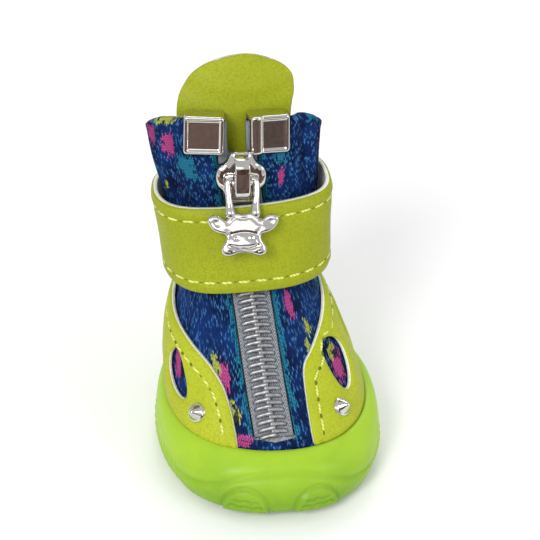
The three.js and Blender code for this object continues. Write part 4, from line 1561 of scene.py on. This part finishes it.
# ------------------------------------------------------------------ leather-look parts
@dataclass
class Tongue:
    """The tongue behind the zip, rising above the collar."""

    outer: float = -4.1
    inner: float = -5.3
    low: float = 15.0
    top: float = 77.6
    foot_half: float = 7.2
    head_half: float = 11.4
    corner: float = 7.5
    arch: float = 1.1
    rows: int = 130
    columns: int = 60

    def build(self) -> None:
        """Makes the tongue, crowned and softly wrinkled above the collar."""
        heights = np.concatenate([
            np.linspace(self.low, self.top - self.corner, self.rows - 26),
            self.top - self.corner + self.corner * np.sin(np.linspace(0, 1, 27)[1:] * math.pi / 2),
        ])
        z = heights[:, None]
        over = np.clip(z - (self.top - self.corner), 0.0, self.corner)
        plain = self.foot_half + (self.head_half - self.foot_half) * smooth(40.0, COLLAR_Z, z)
        half = plain - self.corner + np.sqrt(self.corner**2 - over**2)
        share = np.linspace(-1.0, 1.0, self.columns)[None, :]
        share = 0.85 * share + 0.15 * np.sin(share * math.pi / 2)
        x = half * share
        z = np.broadcast_to(z, x.shape)
        to_edge = np.minimum(np.minimum(half - np.abs(x), self.top - z), z - self.low)
        z = z - self.arch * share**2 * smooth(66.0, self.top, z)
        thick = (self.outer - self.inner) / 2
        round_off = thick * np.sqrt(np.clip(1.0 - (1.0 - np.clip(to_edge / 0.7, 0.0, 1.0)) ** 2, 0.04, 1.0))
        wrinkle = 0.16 * bell(z - 71.8 - 0.03 * x**2, 1.5) - 0.16 * bell(z - 69.6 - 0.02 * x**2, 1.3)
        wrinkle += 0.16 * np.sin(z * 0.62 + 0.2 * x) * smooth(66.0, 74.0, z) * smooth(0.0, 2.5, to_edge)
        stitch = -0.1 * bell(to_edge - 1.6, 0.35) * smooth(66.0, 69.0, z)
        crown = 0.5 * (1.0 - share**2) * smooth(62.0, 72.0, z) + wrinkle + stitch
        middle = (self.outer + self.inner) / 2
        front = LAST.point(z, LAST.bearing(z, x, middle), middle + round_off + crown)
        back = LAST.point(z, LAST.bearing(z, x, middle), middle - round_off + crown)
        # The tongue's front takes the darker PU copy: painted shade.
        piece = closed_grid(
            "tongue_leather", front, back, [PU_SHADED.material(), LINING.material(), FOAM.material()]
        )
        hand_over(piece, "grained_pu", "tongue")


@dataclass
class SidePanel:
    """The overlay that runs round the heel, open at the toe, with two cut-outs each side."""

    outer: float = 1.5
    inner: float = 0.4
    to_mm: float = 21.0
    spacing: float = 0.5
    bevel: float = 0.5
    seam_in: float = 2.4
    # The upper edge's bearings in degrees, and its heights on the left and on the right.
    edge: tuple[tuple[float, float, float], ...] = (
        (19.5, 14, 14), (21, 17.5, 18.4), (24.5, 20.6, 22.6), (33.5, 23.2, 24.5), (48, 24.9, 26.8),
        (68, 26.4, 29.2), (90, 28.2, 30.6), (130, 30.8, 31.4), (180, 31.6, 31.6),
    )
    # Each cut-out's bearing, height, half width, half height and turn in degrees.
    holes: tuple[tuple[float, float, float, float, float], ...] = (
        (-62, 19.2, 4.3, 3.4, -8), (53, 21.2, 3.5, 5.2, 50),
        (-104, 20.6, 3.1, 4, 0), (88, 23.4, 3, 3.6, 0),
    )

    def flat(self, around: Array) -> Array:
        """Turns bearings in degrees into places along the flat pattern."""
        return np.radians(around) * self.to_mm

    def foot(self, u: Array) -> Array:
        """Gives the panel's lower edge on the rim of the sole."""
        toe = np.clip(np.cos(u / self.to_mm), 0.0, None) ** 3
        return RIM_TOP - 0.25 + TOE_RISE * toe

    def edge_line(self) -> Array:
        """Runs along the panel's upper edge, from the front of one side round to the other."""
        degrees, left, right = np.array(self.edge, float).T
        near = np.stack([self.flat(degrees), right], axis=1)
        far = np.stack([self.flat(360.0 - degrees), left], axis=1)
        full = np.vstack([near, far[-2::-1]])
        run = lengths(full)
        places = np.linspace(0.0, run[-1], 260)
        return np.stack([through(run, full[:, k], places) for k in range(2)], axis=1)

    def hole(self, around: float, z: float, half: float, tall: float, turn: float) -> Array:
        """Draws one egg-shaped cut-out, its narrow end up."""
        sweep = circle(40)
        x = half * np.sin(sweep) * (1.0 - 0.3 * np.cos(sweep))
        up = tall * np.cos(sweep)
        angle = math.radians(turn)
        u = self.flat(around % 360) + x * math.cos(angle) - up * math.sin(angle)
        return np.stack([u, z + x * math.sin(angle) + up * math.cos(angle)], axis=1)

    def build(self, tool: Repeater) -> None:
        """Makes the panel and sews its upper edge.

        Args:
            tool: The tree that sets the stitches.
        """
        edge = self.edge_line()
        foot_u = np.linspace(edge[-1, 0], edge[0, 0], 200)
        outline = np.vstack([edge, np.stack([foot_u, self.foot(foot_u)], axis=1)])
        loops = [outline] + [self.hole(*hole) for hole in self.holes]
        blank = Blank.cut(loops, self.spacing, (0.16, 0.5, 1.1))
        u, z = blank.points.T
        bearing = u / self.to_mm
        rim = blank.rim()
        to_seam = np.abs(distance(blank.points, edge, closed=False) - self.seam_in)
        drop = self.bevel * edge_drop(rim / 0.7)
        relief = 0.14 * smooth(0.4, 1.6, rim) * smooth(3.0, 0.8, rim) - 0.16 * bell(to_seam, 0.5) - drop
        ripple = 0.12 * np.sin(u * 0.32 + 0.8) * smooth(15.0, 24.0, z)
        front = LAST.point(z, bearing, self.outer + relief + ripple)
        back = LAST.point(z, bearing, self.inner + ripple * 0.5)
        finishes = [PU.material(), LINING.material(), FOAM.material()]
        piece = blank.build("side_panel_leather", front, back, finishes)
        hand_over(piece, "grained_pu", "side_panel")

        way = np.gradient(edge, axis=0)
        into = np.stack([way[:, 1], -way[:, 0]], axis=1) / np.linalg.norm(way, axis=1, keepdims=True)
        seam = edge + self.seam_in * into
        clear = distance(seam, edge, closed=False) > 0.96 * self.seam_in
        clear &= seam[:, 1] > self.foot(seam[:, 0]) + 0.8
        # The seam bends towards the edge where a cut-out comes near it.
        for loop in loops[1:]:
            near = np.where(inside(seam, loop), -1.0, 1.0) * distance(seam, loop)
            seam = seam - np.clip(0.9 - near, 0.0, self.seam_in - 0.9)[:, None] * into
        seam = seam[clear]
        turn, height = seam[:, 0] / self.to_mm, seam[:, 1]
        line = LAST.point(height, turn, self.outer - 0.1)
        SeamLine().sew("side_panel_seam", tool, line, LAST.out(height, turn))

    @staticmethod
    def area(blank: Blank) -> float:
        """Gives the flat shape's area."""
        a, b, c = (blank.points[blank.triangles[:, k]] for k in range(3))
        first, second = b - a, c - a
        return float(np.abs(first[:, 0] * second[:, 1] - first[:, 1] * second[:, 0]).sum() / 2.0)


@dataclass
class Strap:
    """The broad strap round the shaft, its edges standing off the knit."""

    low: float = 35.6
    high: float = 52.8
    thick: float = 1.3
    tilt: float = math.tan(math.radians(4.5))
    seam_in: float = 2.4
    rows: int = 70
    columns: int = 280

    def place(self, z: Array, bearing: Array, offset: Array | float) -> Array:
        """Places points on the tilted strap."""
        points = STRAP_FORM.point(z, bearing, offset)
        points[..., 2] += self.tilt * (points[..., 0] - STRAP_FORM.at(z)["side"])
        return points

    def build(self, tool: Repeater) -> None:
        """Makes the strap and sews its two seams.

        Args:
            tool: The tree that sets the stitches.
        """
        inner_steps = 0.5 * (1.0 - np.cos(np.linspace(0.0, 1.0, self.rows) * math.pi))
        even = np.linspace(0.0, 1.0, self.rows)
        z = (self.low + (self.high - self.low) * (0.45 * inner_steps + 0.55 * even))[:, None]
        bearing = circle(self.columns)[None, :]
        z, bearing = np.broadcast_arrays(z, bearing)
        to_edge = np.minimum(z - self.low, self.high - z)
        drop = 0.5 * edge_drop(to_edge / 0.75)
        puff = 0.2 * smooth(0.5, 1.5, to_edge) * smooth(3.4, 1.6, to_edge)
        puff = puff - 0.2 * bell(to_edge - self.seam_in, 0.5)
        soft = 0.12 * np.sin(3 * bearing + 0.7) + 0.08 * np.sin(7 * bearing + 2.0 + 0.1 * z)
        soft = soft - 0.22 * smooth(3.0, 8.0, to_edge)
        front = self.place(z, bearing, -0.1 + soft + puff - drop)
        back = self.place(z, bearing, -self.thick + soft * 0.6)
        wave = 0.12 * np.sin(4 * bearing + 1.0)
        front[..., 2] += wave
        back[..., 2] += wave
        # The strap's front takes the darker PU copy: painted shade.
        finishes = [PU_SHADED.material(), LINING.material(), FOAM.material()]
        piece = closed_grid("strap_leather", front, back, finishes, wrap=True)
        hand_over(piece, "grained_pu", "strap")
        turns = np.linspace(0.0, FULL_TURN, 361)
        for title, height in (("lower", self.low + self.seam_in), ("upper", self.high - self.seam_in)):
            offset = -0.22 + 0.12 * np.sin(3 * turns + 0.7) + 0.08 * np.sin(7 * turns + 2.0 + 0.1 * height)
            line = self.place(np.full_like(turns, height), turns, offset)
            line[..., 2] += 0.12 * np.sin(4 * turns + 1.0)
            SeamLine().sew(f"strap_seam_{title}", tool, line, STRAP_FORM.out(height, turns))


# ------------------------------------------------------------------ zip
@dataclass
class Zip:
    """The woven tapes and the coil teeth between them."""

    tape_half: float = 3.95
    tape_out: float = -0.75
    tape_in: float = -1.45
    low: float = 13.5
    tape_top: float = 67.0
    chain_top: float = 51.2
    split_low: float = 57.0
    split_high: float = 62.0
    split_half: float = 1.9
    pitch: float = 1.42
    reach: float = 2.95

    def tape(self, side: int) -> None:
        """Makes one tape, from the zip's middle line to its sewn edge."""
        z = np.linspace(self.low, self.tape_top, 150)[:, None]
        gap = 0.06 + self.split_half * smooth(self.split_low, self.split_high, z)
        share = np.linspace(0.0, 1.0, 14)[None, :]
        x = side * (gap + (self.tape_half - gap) * share)
        z = np.broadcast_to(z, x.shape)
        cord = 0.35 * bell((np.abs(x) - gap - 0.5), 0.5) * smooth(53.0, 58.0, z)
        front = LAST.point(z, LAST.bearing(z, x), self.tape_out + cord)
        back = LAST.point(z, LAST.bearing(z, x), self.tape_in)
        pattern = np.stack([x, z], axis=-1)
        title = side_name(side)
        piece = closed_grid(f"zip_tape_woven_{title}", front, back, [TAPE.material()] * 3, uv=pattern)
        hand_over(piece, "woven_tape", "zip_tape")

    def tooth(self, side: int) -> Shell:
        """Makes one turn of the coil: a head that hooks the middle and a leg that runs out."""
        reach = self.reach
        stations = (
            (-0.5, 0.12, 0.2, 0.12), (-0.38, 0.5, 0.55, 0.1), (0.05, 0.64, 0.68, 0.0),
            (0.5, 0.52, 0.52, -0.02), (1.1, 0.46, 0.46, -0.05), (1.9, 0.45, 0.42, -0.12),
            (reach - 0.35, 0.42, 0.36, -0.35), (reach - 0.05, 0.3, 0.26, -0.6),
        )
        turn = circle(9)
        rings = []
        for x, wide, tall, drop in stations:
            rings.append(np.stack([
                wide * np.cos(turn) - 0.1 * x * (x / reach),
                np.full(9, -side * x),
                tall * np.sin(turn) + drop,
            ], axis=1))
        return ring_stack(np.array(rings))

    def build(self, tool: Repeater) -> None:
        """Makes the tapes and sets the teeth along the middle line.

        Args:
            tool: The tree that sets the teeth.
        """
        for side in (-1, 1):
            self.tape(side)
        heights = np.linspace(self.low + 0.5, self.chain_top - 0.3, 800)
        middle = LAST.point(heights, 0.0, 0.18)
        run = lengths(middle)
        halves = []
        for side, start in ((-1, 0.0), (1, 0.5 * self.pitch)):
            places = np.arange(start + 0.3, run[-1] - 0.3, self.pitch)
            height = np.interp(places, run, heights)
            bearing = np.full_like(height, 0.0)
            here = LAST.point(height, bearing, 0.18)
            ahead = LAST.point(height + 0.5, bearing, 0.18) - here
            title = side_name(side)
            out = LAST.out(height, bearing)
            name, full_size = "zip_teeth_" + title, (1.0, 1.0, 1.0)
            halves.append(tool.set_out(name, self.tooth(side), here, ahead, out, full_size, COIL))
        for half in halves:
            hand_over(half, "zip_coil", "zip_chain")


def rounded(corners: Array, steps: int = 6) -> Array:
    """Draws a smooth closed curve through points."""
    loop = np.vstack([corners[-2:], corners, corners[:2]])
    run = np.concatenate([[0.0], np.cumsum(np.sqrt(np.linalg.norm(np.diff(loop, axis=0), axis=1)))])
    places = np.concatenate([
        np.linspace(run[k + 2], run[k + 3], steps, endpoint=False) for k in range(len(corners))
    ])
    return np.stack([through(run, loop[:, k], places) for k in range(2)], axis=1)


def mirrored(half: Sequence[tuple[float, float]]) -> Array:
    """Closes the right half of an outline, from its top middle down, with its left half."""
    right = list(half)
    left = [(-x, z) for x, z in reversed(right) if x > 0]
    return np.array(right + left, float)


def plate(
    loops: Sequence[Array],
    spacing: float,
    depth: float,
    bevel: float,
    relief: Callable[[Array, Array], Array],
) -> Shell:
    """Makes a cast plate with rounded edges and a modelled face.

    Args:
        loops: The outline, then any holes, as X and Z.
        spacing: The size of its triangles.
        depth: The plate's thickness.
        bevel: How far its edges are rounded.
        relief: Gives the face's height at places, from the points and their distances to the edge.

    Returns:
        The points and the faces, its face towards -Y.
    """
    blank = Blank.cut(loops, spacing, (bevel * 0.12, bevel * 0.4, bevel))
    rim = blank.rim()
    drop = bevel * edge_drop(rim / bevel)
    x, z = blank.points.T
    face = depth / 2 - drop + relief(blank.points, rim)
    front = np.stack([x, -face, z], axis=1)
    back = np.stack([x, depth / 2 - drop, z], axis=1)
    points, faces, _ = blank.skin(front, back)
    return points, faces


@dataclass
class Slider:
    """The cast slider, parked above the strap, with the bridge that holds the pull."""

    z: float = 56.8
    width: float = 9.7
    length: float = 10.9
    back: float = -0.2
    thick: float = 3.2
    nose: float = 3.4
    bridge_width: float = 2.9
    bridge_out: float = 2.9
    bridge_low: float = -3.0
    bridge_high: float = 5.2
    eye_half: float = 1.5
    wall: float = 0.95

    def pose(self) -> Pose:
        """Stands the slider on the front of the last."""
        origin = LAST.point(self.z, 0.0)
        rise = LAST.at(self.z + 2.0)["front"] - LAST.at(self.z - 2.0)["front"]
        return Pose.leaning(origin, math.atan2(float(rise), 4.0))

    def body(self) -> Shell:
        """Makes the pillow-shaped body with its shoulders and throat."""
        w, l = self.width / 2, self.length / 2
        nose = self.nose / 2
        half = [
            (0.0, l), (nose, l), (0.62 * w, 0.62 * l), (0.9 * w, 0.45 * l), (w, 0.12 * l),
            (0.94 * w, -0.2 * l), (0.74 * w, -0.4 * l), (0.66 * w, -0.7 * l), (0.66 * w, -0.97 * l),
            (0.5 * w, -l), (0.0, -l),
        ]

        def face(points: Array, rim: Array) -> Array:
            """Dishes the shoulders, ridges the middle and notches the rim."""
            x, z = np.abs(points[:, 0]), points[:, 1]
            dish = -0.35 * bell(np.hypot((x - 2.7) / 1.2, (z - 1.4) / 2.2), 1.0)
            step = 0.2 * smooth(0.7, 1.2, rim)
            return dish + step - 0.2

        points, faces = plate([rounded(mirrored(half))], 0.4, self.thick, 0.75, face)
        points[:, 1] += self.back - self.thick / 2
        return points, faces

    def bridge(self) -> Shell:
        """Makes the bridge, seen from the side as an arch over the eye."""
        face = -(self.back - self.thick)
        top = face + self.bridge_out
        low, high, r = self.bridge_low, self.bridge_high, 1.0
        outline = np.array([
            (face - 0.9, low), (face + 0.8, low), (top - 0.5, low + 0.25), (top - 0.05, low + 1.2),
            (top, low + 2.2), (top, high - 2.8), (top - 0.2, high - 1.6), (top - r, high - 0.5),
            (face + 0.4, high), (face - 0.9, high),
        ])
        sweep = circle(24)
        power = 0.6
        deep = (top - self.wall - face) / 2
        eye_y = face + deep + 0.02 + deep * np.sign(np.cos(sweep)) * np.abs(np.cos(sweep)) ** power * 0.98
        eye_z = self.eye_half * np.sign(np.sin(sweep)) * np.abs(np.sin(sweep)) ** power
        loops = [resample(outline, 0.35), np.stack([eye_y, eye_z], axis=1)]
        blank = Blank.cut(loops, 0.3, (0.06, 0.2))
        drop = 0.3 * edge_drop(blank.rim() / 0.35)
        half = self.bridge_width / 2 - drop
        y, z = blank.points.T
        points, faces, _ = blank.skin(np.stack([half, -y, z], axis=1), np.stack([-half, -y, z], axis=1))
        return points, faces

    def build(self) -> None:
        """Makes the slider and hands it over."""
        pose = self.pose()
        points, faces = pose.place(together([self.body(), self.bridge()]))
        piece = make_piece("zip_slider_cast", points, faces, [CHROME.material()])
        hand_over(piece, "chrome_cast", "zip_slider")


@dataclass
class Pull:
    """The hinged pull: a bar, two prongs and a generic calf's head with bare faces."""

    bar_radius: float = 0.6
    prong_x: float = 2.6
    plate_thick: float = 1.4
    shorter: float = 1.5
    lean: float = math.radians(32.0)
    head: tuple[tuple[float, float], ...] = (
        (0.0, -5.9), (1.5, -5.7), (2.7, -6.4), (3.4, -7.0), (4.6, -6.2), (6.0, -6.05), (6.8, -7.0),
        (6.0, -8.6), (4.5, -9.5), (3.35, -9.8), (3.5, -10.9), (4.25, -12.2), (4.1, -13.4),
        (3.0, -13.9), (1.5, -13.5), (0.0, -13.2),
    )

    def face(self, points: Array, rim: Array) -> Array:
        """Models the head: ear hollows, a muzzle swell, a mouth and a raised rim."""
        x, z = np.abs(points[:, 0]), points[:, 1] - self.shorter
        ears = -0.42 * bell(np.hypot((x - 5.2) / 1.25, (z + 9.1) / 0.75), 1.0)
        muzzle = 0.32 * bell(np.hypot(x / 3.2, (z + 13.0) / 1.3), 1.0)
        step = 0.32 * smooth(0.35, -0.25, z + 11.2 + 0.07 * x**2) * smooth(0.3, 0.8, rim)
        brow = -0.2 * bell(z + 11.0 + 0.07 * x**2, 0.3) * smooth(3.4, 2.6, x)
        mouth = -0.5 * bell(z + 14.0 - 0.07 * x**2, 0.24) * smooth(3.2, 2.4, x)
        nose = -0.35 * bell(np.hypot(x - 1.5, (z + 12.0) / 0.7), 0.42)
        edge = -0.14 * bell(rim - 0.85, 0.22) * smooth(4.0, 2.6, x)
        return 0.4 * (ears + muzzle + step) + brow + mouth + nose + edge - 0.1

    def prong(self, side: int) -> Shell:
        """Makes one prong, hooked in over the bar and widening into a horn."""
        x = self.prong_x
        line = np.array([
            (x - 1.25, 0.0, 0.35), (x - 0.8, 0.0, 0.62), (x - 0.2, 0.0, 0.55), (x + 0.1, 0.0, 0.0),
            (x + 0.12, 0.0, -1.3), (x + 0.05, 0.0, -2.6), (x - 0.05, 0.0, -3.7), (x - 0.15, 0.0, -4.8),
            (x - 0.2, 0.0, -5.9), (x - 0.3, 0.0, -6.9),
        ])
        line[:, 0] *= side
        knots = np.arange(len(line), dtype=float)
        fine = np.linspace(0.0, len(line) - 1.0, 40)
        line = np.stack([through(knots, line[:, k], fine) for k in range(3)], axis=1)
        places, widths = np.array([
            (0, 0.1), (0.4, 0.45), (1, 0.6), (3, 0.66), (6, 0.68),
            (7, 0.85), (7.8, 1.05), (8.6, 0.9), (9, 0.3),
        ]).T
        radii = np.interp(fine, places, widths)
        return rod(line, radii, 0.92)

    def build(self) -> None:
        """Makes the pull and hands it over on its own body."""
        pose = Pose.leaning(np.array(frame["joints"][0]["pos_m"]) / MM, self.lean)
        head = plate([rounded(mirrored(self.head))], 0.3, self.plate_thick, 0.5, self.face)
        reach = self.prong_x - 0.6
        bar_line = np.stack([np.linspace(-reach, reach, 12), np.zeros(12), np.zeros(12)], axis=1)
        bar = rod(bar_line, np.full(12, self.bar_radius))
        shells = together([head, self.prong(-1), self.prong(1), bar])
        points, faces = pose.place(shells)
        piece = make_piece("pull_charm", points, faces, [CHROME.material()])
        hand_over(piece, "chrome_cast", "zip_pull", body=PULL)


@dataclass
class EndBox:
    """One end box, clamped over the collar: a bright frame round a bare, sunk face."""

    side: int
    width: float = 7.7
    height: float = 7.5
    depth: float = 5.0
    z: float = 64.9
    around: float = math.radians(15.9)
    yaw: float = math.radians(6.0)
    frame_wide: float = 0.75

    def pose(self) -> Pose:
        """Stands the box on the collar, leaning with the wall."""
        rise = LAST.at(self.z + 2.0)["front"] - LAST.at(self.z - 2.0)["front"]
        origin = LAST.point(self.z, self.side * self.around, -1.0)
        return Pose.leaning(origin, math.atan2(float(rise), 4.0), self.side * self.yaw)

    def face(self, points: Array, rim: Array) -> Array:
        """Sinks the face inside its frame, and rounds a column on the zip's side of the right box."""
        inner = -0.42 * smooth(self.frame_wide - 0.12, self.frame_wide + 0.22, rim)
        if self.side < 0:
            return inner
        off = points[:, 0] + self.width / 2 - 1.15
        column = np.sqrt(np.clip(1.0 - (off / 1.15) ** 2, 0.0, 1.0))
        return np.maximum(inner, 0.5 * column - 0.35 * (column <= 0.0)) - 0.08

    def build(self) -> None:
        """Makes the box with its slot for the collar, and hands it over."""
        w, h, r = self.width / 2, self.height / 2, 0.7
        in_x, in_z = w - r, h - r
        corners = []
        for cx, cz, start in ((in_x, in_z, 0), (-in_x, in_z, 90), (-in_x, -in_z, 180), (in_x, -in_z, 270)):
            for step in np.linspace(0.0, 90.0, 6):
                angle = math.radians(start + step)
                corners.append((cx + r * math.cos(angle), cz + r * math.sin(angle)))
        shell = plate([np.array(corners)], 0.24, self.depth, 0.4, self.face)
        points, faces = self.pose().place(shell)
        title = side_name(self.side)
        piece = make_piece(f"zip_end_cast_{title}", points, faces, [CHROME.material()])
        self.slot_for_collar(piece)
        hand_over(piece, "chrome_cast", f"zip_end_{title}")

    def slot_for_collar(self, piece: Piece) -> None:
        """Cuts the collar's thickness out of the box from below."""
        heights = np.linspace(self.z - 8.0, COLLAR_Z + 0.3, 24)[:, None]
        bearings = self.side * self.around + np.linspace(-0.55, 0.55, 26)[None, :]
        z, bearing = np.broadcast_arrays(heights, bearings)
        cutter = closed_grid("slot_cutter", LAST.point(z, bearing, 0.45), LAST.point(z, bearing, -2.3), [])
        modifier = piece.modifiers.new("slot", "BOOLEAN")
        modifier.operation = "DIFFERENCE"
        modifier.solver = "EXACT"
        modifier.object = cutter
        apply(piece, modifier, cutter)


@dataclass
class Stud:
    """One chrome cone stud with a base flange."""

    side: int
    radius: float = 1.9
    height: float = 2.2
    around: float = math.radians(42.0)
    z: float = 15.8

    def build(self) -> None:
        """Turns the stud on its axis and stands it on the side panel."""
        profile = (
            (0.3, -0.35), (0.95, -0.35), (0.98, -0.02), (0.92, 0.0), (0.98, 0.06), (1.0, 0.16),
            (0.98, 0.26), (0.9, 0.34), (0.84, 0.4), (0.8, 0.52), (0.62, 0.95), (0.44, 1.36),
            (0.3, 1.68), (0.2, 1.88), (0.1, 1.98), (0.03, 2.0),
        )
        turn = circle(40)
        rings = []
        for share, up in profile:
            r = share * self.radius
            z = np.full(40, -up * self.height / 2.1 * 1.02)
            rings.append(np.stack([r * np.cos(turn), z, r * np.sin(turn)], axis=1))
        shell = ring_stack(np.array(rings))
        pose = Pose.on_last(self.side * self.around, self.z, 1.62)
        points, faces = pose.place(shell)
        title = side_name(self.side)
        piece = make_piece(f"stud_cone_{title}", points, faces, [CHROME.material()])
        hand_over(piece, "chrome_cast", f"stud_{title}")


# ------------------------------------------------------------------ studio
@dataclass
class Studio:
    """A white table, a bright room, and dark cards for the metal to mirror."""

    azimuth: float = math.radians(-7.5)
    elevation: float = math.radians(32.0)
    roll: float = math.radians(2.2)
    away: float = 0.33
    target: tuple[float, float, float] = (0.0, 0.002, 0.038)
    lens: float = 112.2

    def camera(self) -> None:
        """Stands the camera to frame the boot."""
        across, lift = math.sin(self.azimuth), math.sin(self.elevation)
        level = math.cos(self.elevation)
        back = Vector((across * level, -math.cos(self.azimuth) * level, lift))
        data = bpy.data.cameras.new("camera")
        data.lens = self.lens
        data.clip_start = 0.01
        eye = bpy.data.objects.new("camera", data)
        turn = back.to_track_quat("Z", "Y").to_matrix() @ Euler((0.0, 0.0, self.roll)).to_matrix()
        eye.matrix_world = turn.to_4x4()
        eye.location = Vector(self.target) + self.away * back
        bpy.context.scene.collection.objects.link(eye)
        bpy.context.scene.camera = eye

    def floor(self) -> None:
        """Lays the backdrop paper under the boot."""
        edge = 2500.0
        corners = [(-edge, -edge, 0), (edge, -edge, 0), (edge, edge, 0), (-edge, edge, 0)]
        paper = make_piece("backdrop", np.array(corners, float), [(0, 1, 2, 3)], [StudioPaper().material()])

    def card(self, name: str, corners: Sequence[tuple[float, float, float]]) -> None:
        """Sets out a dark card by its four corners; only mirrors see it."""
        points = np.array(corners) / MM
        board = make_piece(name, points, [(0, 1, 2, 3)], [StudioCard().material()])
        board.visible_camera = False
        board.visible_shadow = False
        board.visible_diffuse = False

    def lamp(self, name: str, place: tuple[float, float, float], size: float, power: float) -> None:
        """Hangs one large soft lamp, turned to the boot."""
        data = bpy.data.lights.new(name, "AREA")
        data.shape = "DISK"
        data.size = size
        data.energy = power
        lamp = bpy.data.objects.new(name, data)
        lamp.location = place
        aim = Vector(place) - Vector(self.target)
        lamp.rotation_euler = aim.to_track_quat("Z", "Y").to_euler()
        bpy.context.scene.collection.objects.link(lamp)

    def room(self) -> None:
        """Fills the room with even white light."""
        world = bpy.data.worlds.new("room")
        world.use_nodes = True
        tree = world.node_tree
        tree.nodes.clear()
        light = node(tree, "ShaderNodeBackground", {"Color": linear("f6f7fa"), "Strength": 0.75})
        node(tree, "ShaderNodeOutputWorld", {"Surface": light})
        bpy.context.scene.world = world

    def build(self) -> None:
        """Sets the whole studio."""
        bpy.context.scene.view_settings.view_transform = "Standard"
        self.camera()
        self.floor()
        self.room()
        self.lamp("key", (-0.5, -0.75, 0.7), 0.4, 7.0)
        self.lamp("fill", (0.8, -0.6, 0.6), 0.6, 2.5)
        self.lamp("front", (-0.1, -0.85, 0.6), 0.5, 0.8)
        self.lamp("back", (0.1, 0.9, 0.9), 0.6, 3.5)
        near, far, w, low = -0.14, -1.1, 0.45, 0.0006
        self.card("card_floor", [(-w, far, low), (w, far, low), (w, near, low), (-w, near, low)])
        self.card("card_front", [(-w, far, low), (w, far, low), (w, far, 0.35), (-w, far, 0.35)])


def main() -> None:
    """Builds every piece in order, then the studio."""
    logging.basicConfig(level=logging.INFO, format="%(message)s")
    tool = Repeater()
    CupSole().build()
    Insole().build()
    KnitUpper().build()
    Tongue().build()
    SidePanel().build(tool)
    Strap().build(tool)
    Zip().build(tool)
    Slider().build()
    Pull().build()
    for side in (-1, 1):
        EndBox(side).build()
        Stud(side).build()
    Studio().build()


if __name__ == "__main__":
    main()
